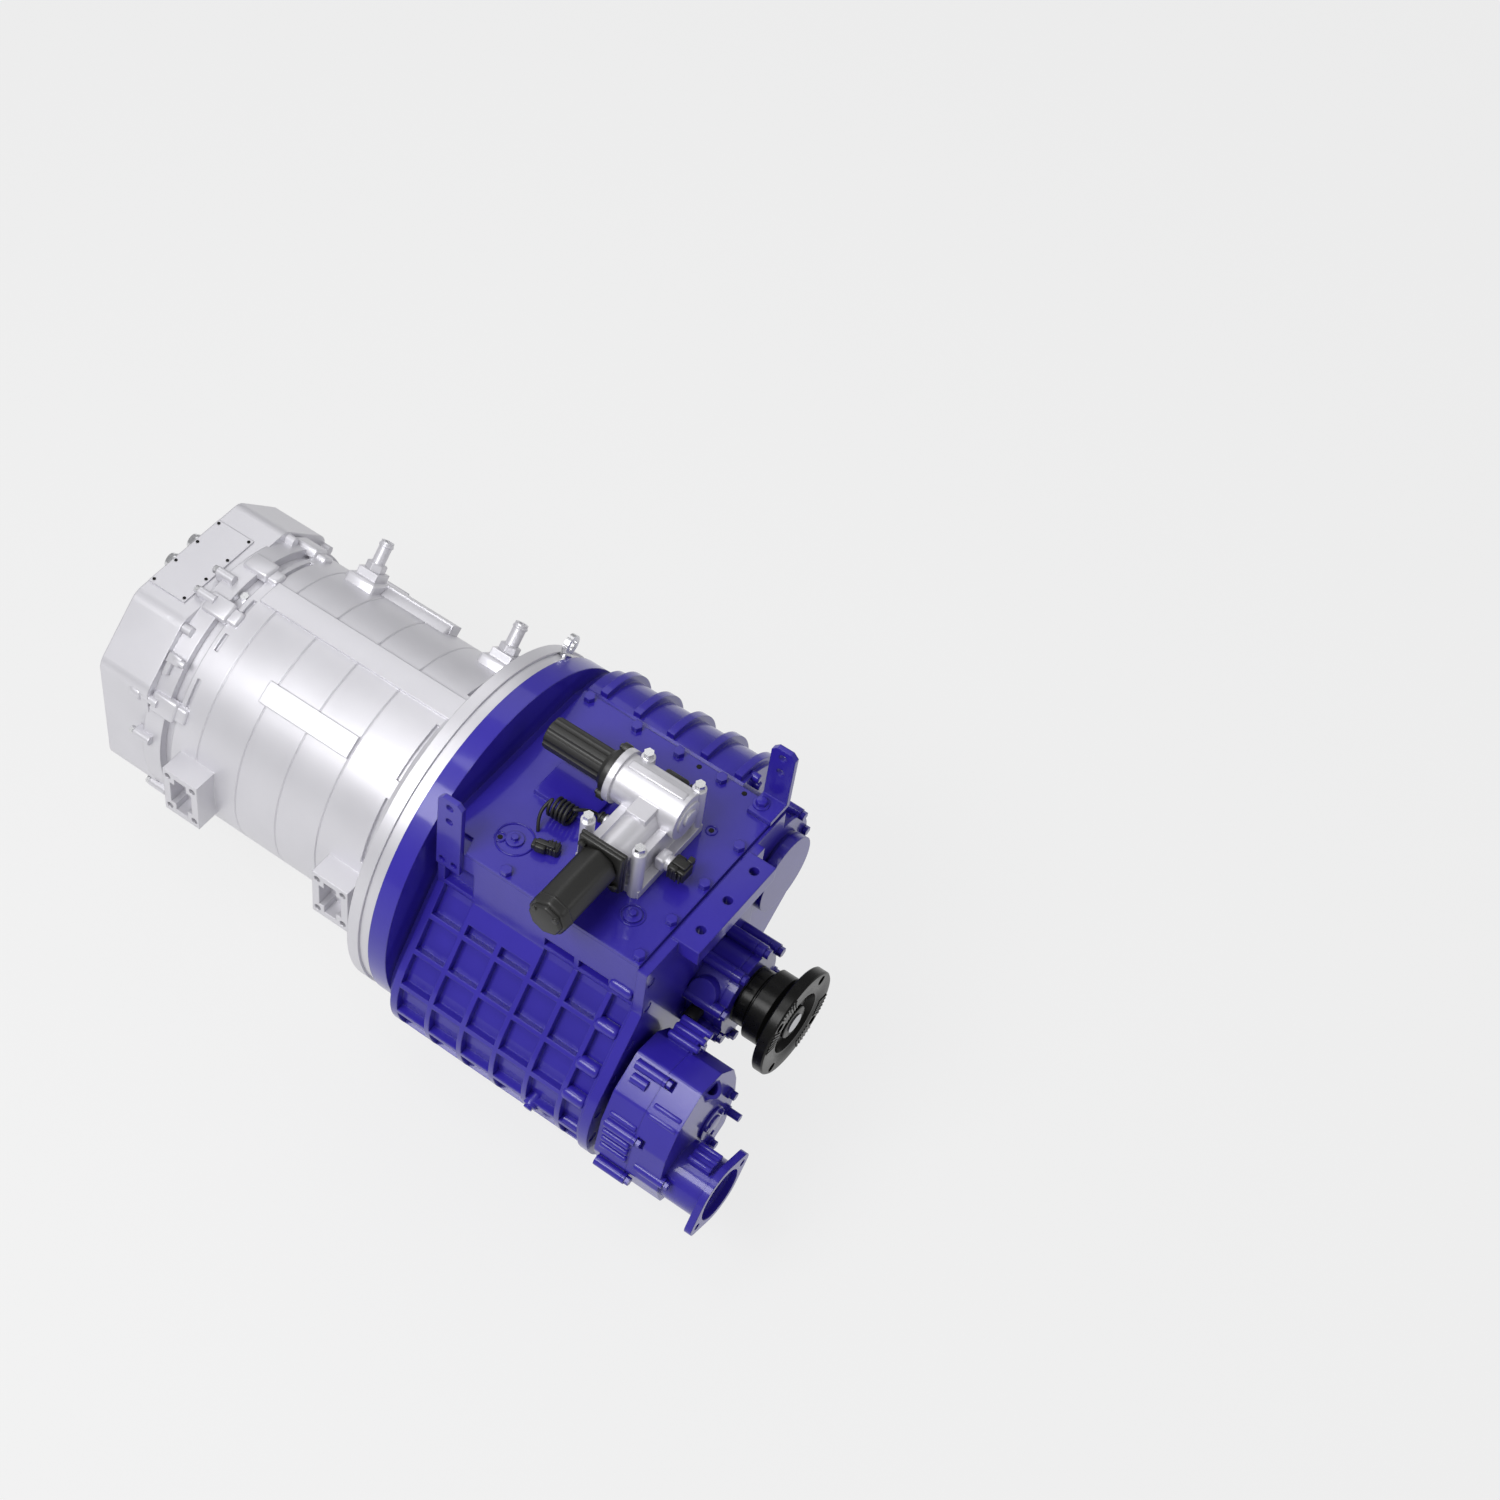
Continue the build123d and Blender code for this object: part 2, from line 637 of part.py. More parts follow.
def rear_end_cover():
    x_rim = X_RIM - RIM_LENGTH
    x_lug = X_RIM - LUG_SET_BACK - LUG_LENGTH
    body = prism(end_outline(0), X_BACK, x_rim, END_CORNER_R)
    body += rod(x_rim - 4, X_RIM, RIM_R)
    for angle in LUG_ANGLES:
        y, z = on_circle(LUG_CIRCLE_R, angle)
        body += rod(x_lug, x_lug + LUG_LENGTH, LUG_R, y, z)
        body += radial_pad(x_lug + LUG_LENGTH / 2, angle, RIM_R - 8, LUG_CIRCLE_R, LUG_LENGTH, 2 * LUG_R)
    body -= prism(end_outline(END_WALL), X_BACK + END_WALL, x_rim - 5, END_CORNER_R - 6)
    body -= rod(x_rim - 6, X_RIM + 1, REAR_SHIELD_R - 10)
    x0, x1, y0, y1 = terminal_box()
    m = TERMINAL_OPENING_MARGIN
    cuts = [block(x0 + m, x1 - m, y0 + m, y1 - m, END_TOP - END_WALL - 2, END_TOP + 1)]
    for y, z in GLAND_PLACES:
        cuts.append(rod(X_BACK - 1, X_BACK + END_WALL + 1, GLAND_R - 5 + FIT, y, z))
    for y, z in lug_places():
        cuts.append(rod(x_lug - 10, x_lug, LUG_R + 2, y, z))
        cuts.append(rod(x_lug - 1, x_lug + LUG_LENGTH / 2 + 1, LUG_R - 3 + FIT, y, z))
    return body - cuts


def terminal_cover():
    x0, x1, y0, y1 = terminal_box()
    plate = block(x0, x1, y0, y1, END_TOP, END_TOP + TERMINAL_THICK)
    return plate


def terminal_screws():
    x0, x1, y0, y1 = terminal_box()
    z = END_TOP + TERMINAL_THICK
    screws = []
    for i in range(4):
        y = y0 + 6 + i * (y1 - y0 - 12) / 3
        for x in (x0 + 5, x1 - 5):
            screws.append(hexagon((x, y, z), (0, 0, 1), 5, 1.5))
    return group(screws)


def cable_glands():
    glands = []
    for y, z in GLAND_PLACES:
        g = rod(X_BACK - 8, X_BACK, GLAND_R, y, z)
        g += rod(X_BACK - GLAND_LENGTH, X_BACK - 8, GLAND_R - 2, y, z)
        g += rod(X_BACK, X_BACK + END_WALL + 6, GLAND_R - 5, y, z)
        g -= rod(X_BACK - GLAND_LENGTH - 1, X_BACK + END_WALL + 7, GLAND_R - 8, y, z)
        glands.append(g)
    return group(glands)


def end_cover_bolts():
    bolts = []
    for y, z in lug_places():
        bolts.append(bolt((X_RIM - LUG_SET_BACK - LUG_LENGTH, y, z), (-1, 0, 0), LUG_R * 1.5, LUG_R, LUG_R - 3, LUG_LENGTH / 2))
    for at, out in top_bolts():
        bolts.append(bolt(at, out, 3 * TOP_BOLT_R, 7, TOP_BOLT_R, 12))
    return group(bolts)


def signal_connector():
    """Plug of the sensor lead on the rim, with its clamp and the lead's stub."""
    y, z = on_circle(RIM_R + 8, SIGNAL_ANGLE)
    x = X_RIM - RIM_LENGTH / 2
    body = radial_pad(x, SIGNAL_ANGLE, RIM_R, RIM_R + 12, 22, 14)
    body += rod(x, X_RIM + 4, 5, y, z)
    return body + radial_pad(x - 6, SIGNAL_ANGLE - 3.4, RIM_R, RIM_R + 9, 8, 26)


SIGNAL_ANGLE = -43.0


def coolant_nozzles():
    out = (0, *on_circle(1, NOZZLE_ANGLE))
    nozzles = []
    for x in motor_stations(NOZZLE_FROM_END):
        seat = (x, *on_circle(NOZZLE_SEAT_R, NOZZLE_ANGLE))
        root = (x, *on_circle(NOZZLE_SEAT_R - 16, NOZZLE_ANGLE))
        n = hexagon(seat, out, 27, 11)
        n += peg(root, out, NOZZLE_R - NOZZLE_WALL, 16)
        n += peg(seat, out, NOZZLE_R, NOZZLE_TIP_R - NOZZLE_SEAT_R)
        n -= peg(root, out, NOZZLE_R - 2 * NOZZLE_WALL, NOZZLE_TIP_R - NOZZLE_SEAT_R + 17)
        nozzles.append(n)
    return group(nozzles)


def lifting_eye():
    out = (0, *on_circle(1, EYE_ANGLE))
    foot = (EYE_X, *on_circle(SHIELD_R + 1, EYE_ANGLE))
    root = (EYE_X, *on_circle(SHIELD_R - EYE_SHANK, EYE_ANGLE))
    collar = peg(foot, out, EYE_COLLAR_R, 5) + peg(root, out, EYE_SHANK_R, EYE_SHANK + 2)
    y, z = on_circle(SHIELD_R + 20, EYE_ANGLE)
    return collar + ring(EYE_X - 4, EYE_X + 4, 16, 8.5, y, z)


def stator_core():
    outer = MOTOR_R - MOTOR_WALL - FIT
    return ring(STATOR_X, STATOR_X + STATOR_LENGTH, outer, STATOR_BORE_R)


def stator_windings():
    r0, r1 = WINDING_R
    rear = ring(STATOR_X - WINDING_LENGTH, STATOR_X, r1, r0)
    front = ring(STATOR_X + STATOR_LENGTH, STATOR_X + STATOR_LENGTH + WINDING_LENGTH, r1, r0)
    return group([rear, front])


def rotor_core():
    return ring(STATOR_X + 2, STATOR_X + STATOR_LENGTH - 2, STATOR_BORE_R - AIR_GAP, ROTOR_SHAFT_R + FIT)


def motor_shaft():
    x_front = X_SHIELD - MOTOR_BEARING_WIDTH
    x_rear = X_RIM + MOTOR_BEARING_WIDTH
    tail = X_RIM - RESOLVER_WIDTH - 8
    profile = [(tail, 0), (tail, MOTOR_SPLINE_R), (X_RIM, MOTOR_SPLINE_R), (X_RIM, MOTOR_JOURNAL_R),
               (x_rear, MOTOR_JOURNAL_R), (x_rear, ROTOR_SHAFT_R), (x_front - 6, ROTOR_SHAFT_R),
               (x_front, ROTOR_SHAFT_R), (x_front, MOTOR_JOURNAL_R), (X_SHIELD + 10, MOTOR_JOURNAL_R),
               (X_SHIELD + 10, MOTOR_SPLINE_R), (MOTOR_SPLINE_END, MOTOR_SPLINE_R), (MOTOR_SPLINE_END, 0)]
    return turned(profile)


def motor_bearings():
    inner = MOTOR_JOURNAL_R + RUN
    front = ring(X_SHIELD - MOTOR_BEARING_WIDTH, X_SHIELD, MOTOR_BEARING_R, inner)
    rear = ring(X_RIM + 1, X_RIM + MOTOR_BEARING_WIDTH - 1, MOTOR_BEARING_R, inner)
    return group([front, rear])


def resolver_rotor():
    return ring(X_RIM - RESOLVER_WIDTH, X_RIM - 6, RESOLVER_R[0] - 1, MOTOR_SPLINE_R + FIT)


def resolver_stator():
    body = ring(X_RIM - RESOLVER_WIDTH, X_RIM, RESOLVER_R[1], RESOLVER_R[0])
    return body + ring(X_RIM - 5, X_RIM, RESOLVER_R[1] + 14, RESOLVER_R[1] - 1)


# Gearbox case

def tangent(py, pz, r):
    """Angle round the left shaft where a line from a point touches a circle."""
    dy = py + SHAFT_Y
    dz = pz + SHAFT_Z
    return degrees(atan2(dz, dy)) + degrees(acos(r / hypot(dy, dz)))


def left_point(r, angle):
    return (-SHAFT_Y + r * cos(radians(angle)), -SHAFT_Z + r * sin(radians(angle)))


def right_point(r, angle):
    return (SHAFT_Y + r * cos(radians(angle)), SHAFT_Z + r * sin(radians(angle)))


def case_face(inset, left_inset, top, right_r=RIGHT_SKIN_R):
    """Section of the case across the shafts, drawn in by a wall."""
    left_r = LEFT_CREST_R - left_inset
    r = right_r - inset
    wall_y = -CASE_LEFT + left_inset
    knee = (wall_y, CASE_KNEE - left_inset * 0.3)
    touch = tangent(*knee, left_r)
    sump = -SHAFT_Z - left_r
    low = RIGHT_LOW_ANGLE
    start = right_point(r, low)
    lines = [
        Line((wall_y, top), knee),
        Line(knee, left_point(left_r, touch)),
        ThreePointArc(left_point(left_r, touch), left_point(left_r, (touch + 270) / 2), (-SHAFT_Y, sump)),
        Line((-SHAFT_Y, sump), (SUMP_RIGHT - inset, sump)),
    ]
    if right_r < RIGHT_SKIN_R:
        below = (REAR_LOW_POINT[0] - inset, REAR_LOW_POINT[1])
        lines += [Line((SUMP_RIGHT - inset, sump), below), Line(below, start)]
    else:
        lines.append(Line((SUMP_RIGHT - inset, sump), start))
    lines += [
        ThreePointArc(start, right_point(r, 35), right_point(r, 88)),
        Line(right_point(r, 88), (COVER_RIGHT - inset, top)),
        Line((COVER_RIGHT - inset, top), (wall_y, top)),
    ]
    return make_face(lines)


def wall_at(s, inset):
    """Point on the left wall at a girth from the top edge, drawn in by a depth."""
    knee = CASE_TOP - CASE_KNEE
    touch = tangent(-CASE_LEFT, CASE_KNEE, LEFT_CREST_R)
    ty, tz = left_point(LEFT_CREST_R, touch)
    run = hypot(ty + CASE_LEFT, tz - CASE_KNEE)
    if s <= knee:
        return (-CASE_LEFT + inset, CASE_TOP - s)
    if s <= knee + run:
        u = (s - knee) / run
        y = -CASE_LEFT + u * (ty + CASE_LEFT)
        z = CASE_KNEE + u * (tz - CASE_KNEE)
        return (y - inset * cos(radians(touch)), z - inset * sin(radians(touch)))
    angle = touch + degrees((s - knee - run) / LEFT_CREST_R)
    return left_point(LEFT_CREST_R - inset, angle)


def pocket(x0, x1, s0, s1):
    """Pocket between ribs, its floor parallel to the wall."""
    steps = max(2, round((s1 - s0) / 17))
    girths = [s0 + i * (s1 - s0) / steps for i in range(steps + 1)]
    outer = [wall_at(s, -4) for s in girths]
    floor = [wall_at(s, RIB_DEPTH) for s in reversed(girths)]
    return prism(outer + floor, x0, x1)


def rib_stations():
    first = X_CASE + RIB_FIRST_X
    return [first + i * RIB_PITCH_X for i in range(6)] + [X_REAR]


def rib_pockets():
    stations = rib_stations()
    pockets = []
    for column in range(len(stations) - 1):
        x0 = stations[column] + RIB_HALF
        x1 = stations[column + 1] - RIB_HALF
        for row in range(-1, RIB_ROWS):
            s0 = RIB_ROW_FIRST + row * RIB_ROW_PITCH + RIB_HALF
            s1 = s0 + RIB_ROW_PITCH - 2 * RIB_HALF
            if column in PATCH_COLUMNS:
                s0 = max(s0, PATCH_END)
            if column in SHORT_COLUMNS:
                s0 = max(s0, SHORT_START)
            if s1 - s0 > 12:
                pockets.append(pocket(x0, x1, s0, s1))
    return pockets


def gearbox_case():
    x_bulge = X_CASE + BULGE_END
    bell = rod(0, BELL_THICK, BELL_R)
    neck = extrude(yz(BELL_THICK) * case_face(10, 14, CASE_TOP), NECK)
    body = extrude(yz(X_CASE) * case_face(0, 0, CASE_TOP), BULGE_END)
    body += extrude(yz(x_bulge - 1) * case_face(0, 0, CASE_TOP, REAR_RIGHT_R), X_REAR - x_bulge + 1)
    case = bell + neck + body
    ribs = []
    for i in range(BULGE_RIB_COUNT):
        x = X_CASE + BULGE_RIB_FIRST + i * BULGE_RIB_PITCH
        ribs.append(sector(x, x + BULGE_RIB_WIDTH, RIGHT_SKIN_R - 4, BULGE_RIB_R, 2, 112, SHAFT_Y, SHAFT_Z))
    case += ribs
    case -= rib_pockets()
    for y, z in rear_bolt_places():
        case += rod(X_REAR - REAR_BOSS_LENGTH, X_REAR, REAR_BOSS_R, y, z)
    x_in = X_CASE + FRONT_WALL
    x_step = x_bulge - WALL
    case -= extrude(yz(x_in) * case_face(WALL, RIB_DEPTH + WALL, CASE_TOP - WALL), x_step - x_in)
    case -= extrude(yz(x_step - 1) * case_face(WALL, RIB_DEPTH + WALL, CASE_TOP - WALL, REAR_RIGHT_R),
                    X_REAR - x_step + 2)
    for side in SIDES.values():
        case -= rod(x_in, DRIVE_GEAR_X + DRIVE_GEAR_WIDTH + 8, GEAR_CLEAR_R, side * SHAFT_Y, side * SHAFT_Z)
    case += rod(x_in - 1, x_in + RAIL_BOSS_LENGTH, RAIL_BOSS_R, RAIL_Y, RAIL_Z)
    case -= rod(-1, BELL_POCKET_DEPTH, BELL_POCKET_R)
    case -= rod(0, x_in + 1, INPUT_BEARING_R + FIT)
    for side in SIDES.values():
        x_pocket = x_in - COUNTER_BEARING_WIDTH
        case -= rod(x_pocket, x_in + 1, COUNTER_BEARING_R + FIT, side * SHAFT_Y, side * SHAFT_Z)
    case -= rod(x_in - RAIL_BORE_DEPTH, x_in + RAIL_BOSS_LENGTH + 1, RAIL_R + RUN, RAIL_Y, RAIL_Z)
    m = CASE_OPENING_MARGIN
    case -= block(x_in + RAIL_BOSS_LENGTH + 6, X_REAR - m, -COVER_LEFT + m + 12, COVER_RIGHT - m - 4,
                  CASE_TOP - WALL - 4, CASE_TOP + 1)
    for at in cover_bolt_places():
        case -= hole(at, (0, 0, 1), COVER_BOLT_R + FIT, COVER_THICK + COVER_BOLT_DEPTH + 1)
    for y, z in rear_bolt_places():
        case -= hole((X_REAR, y, z), (1, 0, 0), REAR_BOLT_R + FIT, REAR_BOLT_DEPTH + 1)
    x, y, z = drain_place()
    case -= hole((x, y, z), (0, 0, -1), DRAIN_R + FIT, 30)
    return case


def rear_bolt_places():
    """Bolts round the edge of the rear cover, where the ribs cross its rim."""
    girths = [RIB_ROW_FIRST + row * RIB_ROW_PITCH for row in range(-1, RIB_ROWS)]
    places = [wall_at(s, REAR_BOSS_INSET) for s in girths]
    sump = -SHAFT_Z - LEFT_CREST_R + REAR_BOSS_INSET
    places += [(y, sump) for y in REAR_SUMP_BOLTS_Y]
    return places + [right_point(r, a) for r, a in REAR_LOBE_BOLTS]


def rear_bolt_seat(y):
    return X_REAR + REAR_THIN if y > REAR_THIN_Y else X_PLATE - REAR_BOLT_SUNK


def rear_cover_bolts():
    bolts = []
    for y, z in rear_bolt_places():
        x = rear_bolt_seat(y)
        bolts.append(bolt((x, y, z), (1, 0, 0), REAR_BOLT_AF, 7, REAR_BOLT_R, x - X_REAR + REAR_BOLT_DEPTH))
    return group(bolts)


GEAR_CLEAR_R = 105.0


DRAIN_R = 10.0


def drain_place():
    return (X_CASE + CASE_LENGTH / 2, -60.0, -CASE_SUMP)


def oil_plugs():
    """Plugs of the top cover and the drain plug of the sump."""
    plugs = [bolt(drain_place(), (0, 0, -1), 24, 8, DRAIN_R, 16)]
    for x, y in COVER_PLUGS:
        p = peg((x, y, COVER_TOP), (0, 0, 1), COVER_PLUG_R, 3)
        p += peg((x, y, COVER_TOP), (0, 0, -1), COVER_PLUG_R - 4, COVER_THICK)
        p += hexagon((x, y, COVER_TOP + 3), (0, 0, 1), 10, 5)
        plugs.append(p)
    return group(plugs)


def cover_bolt_places():
    right_y = COVER_RIGHT - COVER_BOLT_EDGE
    rear_x = X_REAR - COVER_BOLT_EDGE
    places = [(x, right_y, COVER_TOP) for x in COVER_RIGHT_BOLTS_X]
    places += [(rear_x, y, COVER_TOP) for y in COVER_REAR_BOLTS_Y]
    places.append((COVER_LEFT_BOLT_X, -COVER_LEFT + COVER_BOLT_EDGE, COVER_TOP))
    return places


def top_cover():
    outline = [(X_CASE, COVER_RIGHT), (X_REAR, COVER_RIGHT), (X_REAR, -COVER_LEFT),
               (COVER_NOTCH_X, -COVER_LEFT), (COVER_NOTCH_X - 8, -COVER_NOTCH_Y), (X_CASE, -COVER_NOTCH_Y)]
    face = make_face(Polyline(*outline, close=True))
    plate = extrude(Plane.XY.offset(CASE_TOP) * face, COVER_THICK)
    plate += block(*COVER_RAISED_X, *COVER_RAISED_Y, COVER_TOP - 1, COVER_TOP + COVER_RAISED)
    lx, ly = COVER_OPENING
    y_mid = (ACT_BOLT_Y[0] + ACT_BOLT_Y[1]) / 2
    plate -= block(ACT_X - lx / 2, ACT_X + lx / 2, y_mid - ly / 2, y_mid + ly / 2, CASE_TOP - 1, COVER_TOP + 1)
    cuts = [hole(at, (0, 0, 1), COVER_BOLT_R + FIT, COVER_THICK + 1) for at in cover_bolt_places()]
    cuts += [hole((x, y, COVER_TOP), (0, 0, 1), COVER_PLUG_R - 4 + FIT, COVER_THICK + 1) for x, y in COVER_PLUGS]
    cuts += [hole((x, y, COVER_TOP), (0, 0, 1), ACT_SHANK_R + FIT, COVER_THICK + 1) for x, y in actuator_bolt_places()]
    return plate - cuts


def top_cover_bolts():
    bolts = [bolt(at, (0, 0, 1), COVER_BOLT_AF, COVER_BOLT_HEAD, COVER_BOLT_R, COVER_THICK + COVER_BOLT_DEPTH)
             for at in cover_bolt_places()]
    return group(bolts)


def rear_cover():
    plate = extrude(yz(X_REAR) * case_face(-RIM_STEP, -RIM_STEP, CASE_TOP, REAR_RIGHT_R), REAR_PLATE)
    plate -= block(X_REAR + REAR_THIN, X_PLATE + 1, REAR_THIN_Y, 400, -400, 400)
    ear_y, ear_z = right_point(*REAR_LOBE_BOLTS[-1])
    plate += rod(X_REAR, X_REAR + REAR_THIN, REAR_BOSS_R, ear_y, ear_z)
    y0, y1 = BEAM_Y
    plate += block(X_REAR + 4, X_PLATE + BEAM_DEPTH, y0, y1, BEAM_TOP - BEAM_HEIGHT, BEAM_TOP)
    x_boss = X_REAR - COUNTER_BEARING_WIDTH - 4
    plate += rod(x_boss, X_REAR + 1, COUNTER_BEARING_R + 8, SHAFT_Y, SHAFT_Z)
    plate += rod(X_REAR - RAIL_BOSS_LENGTH - 2, X_REAR + 1, RAIL_BOSS_R, RAIL_Y, RAIL_Z)
    plate -= rod(X_REAR - 1, X_PLATE + 1, OUT_BORE_R)
    plate -= rod(X_REAR - 1, X_PLATE + 1, COUNTER_BEARING_R + FIT, -SHAFT_Y, -SHAFT_Z)
    plate -= rod(x_boss - 1, X_PLATE + 1, COUNTER_BEARING_R + FIT, SHAFT_Y, SHAFT_Z)
    plate -= rod(X_REAR - RAIL_BOSS_LENGTH - 3, X_REAR + 10, RAIL_R + RUN, RAIL_Y, RAIL_Z)
    for at in beam_holes():
        plate -= hole(at, (0, 0, 1), BEAM_HOLE_R, BEAM_HOLE_DEPTH + 1)
    for at in ring_places(X_PLATE, OUT_BOLT_CIRCLE, OUT_BOLT_COUNT):
        plate -= hole(at, (1, 0, 0), 4 + FIT, 11)
    for y, z in rear_bolt_places():
        plate -= rod(X_REAR - 1, X_PLATE + 1, REAR_BOLT_R + FIT, y, z)
        if y < REAR_THIN_Y:
            plate -= rod(X_PLATE - REAR_BOLT_SUNK, X_PLATE + 1, REAR_BOLT_SINK_R, y, z)
    return plate


REAR_THIN_Y = 86.0


OUT_BORE_R = OUTPUT_BEARING_R + FIT


def beam_holes():
    return [(X_PLATE + BEAM_HOLE_FROM_FACE, y, BEAM_TOP) for y in BEAM_HOLE_Y]


def ring_places(x, r, count, y=0.0, z=0.0, start=22.5):
    return [(x, y + r * cos(radians(start + i * 360 / count)), z + r * sin(radians(start + i * 360 / count)))
            for i in range(count)]


def bracket(x0, x1, y, z0, z1):
    plate = block(x0, x1, y - BRACKET_THICK / 2, y + BRACKET_THICK / 2, z0, z1)
    edges = plate.edges().filter_by(Axis.Y).sort_by(Axis.Z)[-2:]
    plate = chamfer(edges, 8)
    for z in bracket_hole_z(z1):
        plate -= hole(((x0 + x1) / 2, y - BRACKET_THICK / 2, z), (0, -1, 0), BRACKET_HOLE_R, BRACKET_THICK + 1)
    return plate


def bracket_hole_z(top):
    return [top - 15, top - 15 - BRACKET_HOLE_SPACING]


def left_lifting_bracket():
    x0, x1 = LEFT_BRACKET_X
    z0 = CASE_TOP
    y = -CASE_LEFT - BRACKET_THICK / 2
    plate = bracket(x0, x1, y, z0 - 40, LEFT_BRACKET_Z[1])
    for at in left_bracket_bolts():
        plate -= hole(at, (0, -1, 0), BRACKET_BOLT_R + FIT, BRACKET_THICK + 1)
    return plate


BRACKET_BOLT_R = 5.0


def left_bracket_bolts():
    x0, x1 = LEFT_BRACKET_X
    y = -CASE_LEFT - BRACKET_THICK
    return [(x, y, CASE_TOP - 26) for x in (x0 + 10, x1 - 10)]


def right_lifting_bracket():
    x0, x1 = RIGHT_BRACKET_X
    plate = bracket(x0, x1, RIGHT_BRACKET_Y + 8, COVER_TOP, RIGHT_BRACKET_TOP)
    plate += block(x0, x1, RIGHT_BRACKET_Y - 34, RIGHT_BRACKET_Y + 8, COVER_TOP, COVER_TOP + BRACKET_THICK)
    return plate


def countershaft_cap():
    x0 = X_REAR + REAR_THIN
    x1, x2 = CAP_DISC_X
    cap = rod(x0, x1 + 1, CAP_NECK_R, SHAFT_Y, SHAFT_Z) + rod(x1, x2, CAP_R, CAP_Y, CAP_Z)
    return cap - rod(x0 - 1, x1 - 1, COUNTER_BEARING_R - 6, SHAFT_Y, SHAFT_Z)


# Output end

def output_housing():
    body = rod(X_PLATE, X_OUT, OUT_HOUSING_R)
    for at in ring_places(X_PLATE, OUT_BOLT_CIRCLE, OUT_BOLT_COUNT):
        body += rod(X_PLATE, X_OUT, OUT_LOBE_R, at[1], at[2])
    x = (X_PLATE + X_OUT) / 2
    root = (x, *on_circle(OUT_HOUSING_R - 9, OUT_BOSS_ANGLE))
    out = (0, *on_circle(1, OUT_BOSS_ANGLE))
    body += peg(root, out, OUT_BOSS_R, OUT_BOSS_TOP_R - OUT_HOUSING_R + 9)
    body -= rod(X_PLATE - 1, X_OUT + 1, OUTPUT_BEARING_R + FIT)
    for at in ring_places(X_PLATE, OUT_BOLT_CIRCLE, OUT_BOLT_COUNT):
        body -= rod(X_PLATE - 1, X_OUT + 1, 4 + FIT, at[1], at[2])
    body -= sensor_hole()
    return body


SENSOR_ANGLE = -90.0
SENSOR_R = 11.0


def sensor_seat():
    y, z = on_circle(OUT_HOUSING_R - 3, SENSOR_ANGLE)
    return (X_PLATE + 20, y, z), (0, *on_circle(1, SENSOR_ANGLE))


def sensor_hole():
    at, out = sensor_seat()
    start = tuple(p + 5 * c for p, c in zip(at, out))
    return hole(start, out, SENSOR_R - 3 + FIT, 14)


def speed_sensor():
    at, out = sensor_seat()
    inward = tuple(-c for c in out)
    body = peg(at, inward, SENSOR_R - 3, 2)
    shell = peg(at, out, SENSOR_R, 26) - rod(X_PLATE, X_OUT, OUT_HOUSING_R + FIT)
    return shell + peg(at, out, SENSOR_R - 3, 6) + body


def output_cap():
    cap = rod(X_OUT, X_CAP, OUT_HOUSING_R)
    for at in ring_places(X_OUT, OUT_BOLT_CIRCLE, OUT_BOLT_COUNT):
        cap += rod(X_OUT, X_CAP, OUT_LOBE_R, at[1], at[2])
    cap -= rod(X_OUT - 1, X_CAP + 1, SEAL_R)
    for at in ring_places(X_OUT, OUT_BOLT_CIRCLE, OUT_BOLT_COUNT):
        cap -= rod(X_OUT - 1, X_CAP + 1, 4 + FIT, at[1], at[2])
    return cap


def output_bolts():
    depth = OUT_HOUSING_LENGTH + OUT_CAP_THICK + 9
    return group([bolt(at, (1, 0, 0), 13, 7, 4, depth) for at in ring_places(X_CAP, OUT_BOLT_CIRCLE, OUT_BOLT_COUNT)])


def output_seal():
    return ring(X_OUT + 2, X_CAP - 2, SEAL_R - FIT, OUTPUT_JOURNAL_R + RUN)


def output_flange():
    x_hub = X_CAP + 2
    x_back = X_FACE - OUT_FLANGE_THICK
    bore = OUTPUT_SPLINE_R + FIT
    profile = [(x_hub, bore), (x_hub, OUT_HUB_R), (x_hub + 20, OUT_HUB_R), (x_hub + 24, OUT_NECK_R),
               (x_back - 6, OUT_NECK_R), (x_back, OUT_NECK_R + 6), (x_back, OUT_FLANGE_R),
               (X_FACE, OUT_FLANGE_R), (X_FACE, OUT_RECESS_R), (X_FACE - OUT_RECESS_DEPTH, OUT_RECESS_R),
               (X_FACE - OUT_RECESS_DEPTH, bore)]
    flange = turned(profile)
    for at in ring_places(X_FACE, OUT_HOLE_CIRCLE_R, 4, start=45):
        flange -= hole(at, (1, 0, 0), OUT_HOLE_R, OUT_FLANGE_THICK + 1)
    return flange


def output_shaft():
    x_pilot = DRIVE_GEAR_X + DRIVE_GEAR_WIDTH + 12
    collar_a = HIGH_GEAR_X - RUN
    collar_b = LOW_GEAR_X + LOW_GEAR_WIDTH + RUN
    x_seat = X_CAP + 2
    x_thread = X_FACE - OUT_RECESS_DEPTH
    profile = [(x_pilot - PILOT_LENGTH, 0), (x_pilot - PILOT_LENGTH, PILOT_R), (x_pilot + 2, PILOT_R),
               (x_pilot + 2, MAIN_SHAFT_R), (collar_a - COLLAR_WIDTH, MAIN_SHAFT_R),
               (collar_a - COLLAR_WIDTH, COLLAR_R), (collar_a, COLLAR_R), (collar_a, MAIN_SHAFT_R),
               (HUB_X, MAIN_SHAFT_R), (HUB_X, HUB_R), (HUB_X + HUB_WIDTH, HUB_R),
               (HUB_X + HUB_WIDTH, MAIN_SHAFT_R), (collar_b, MAIN_SHAFT_R), (collar_b, COLLAR_R),
               (collar_b + COLLAR_WIDTH, COLLAR_R), (collar_b + COLLAR_WIDTH, MAIN_SHAFT_R),
               (X_REAR, MAIN_SHAFT_R), (X_REAR, OUTPUT_JOURNAL_R), (x_seat, OUTPUT_JOURNAL_R),
               (x_seat, OUTPUT_SPLINE_R), (x_thread, OUTPUT_SPLINE_R), (x_thread, OUTPUT_THREAD_R),
               (X_FACE - 2, OUTPUT_THREAD_R), (X_FACE - 2, 0)]
    return turned(profile)


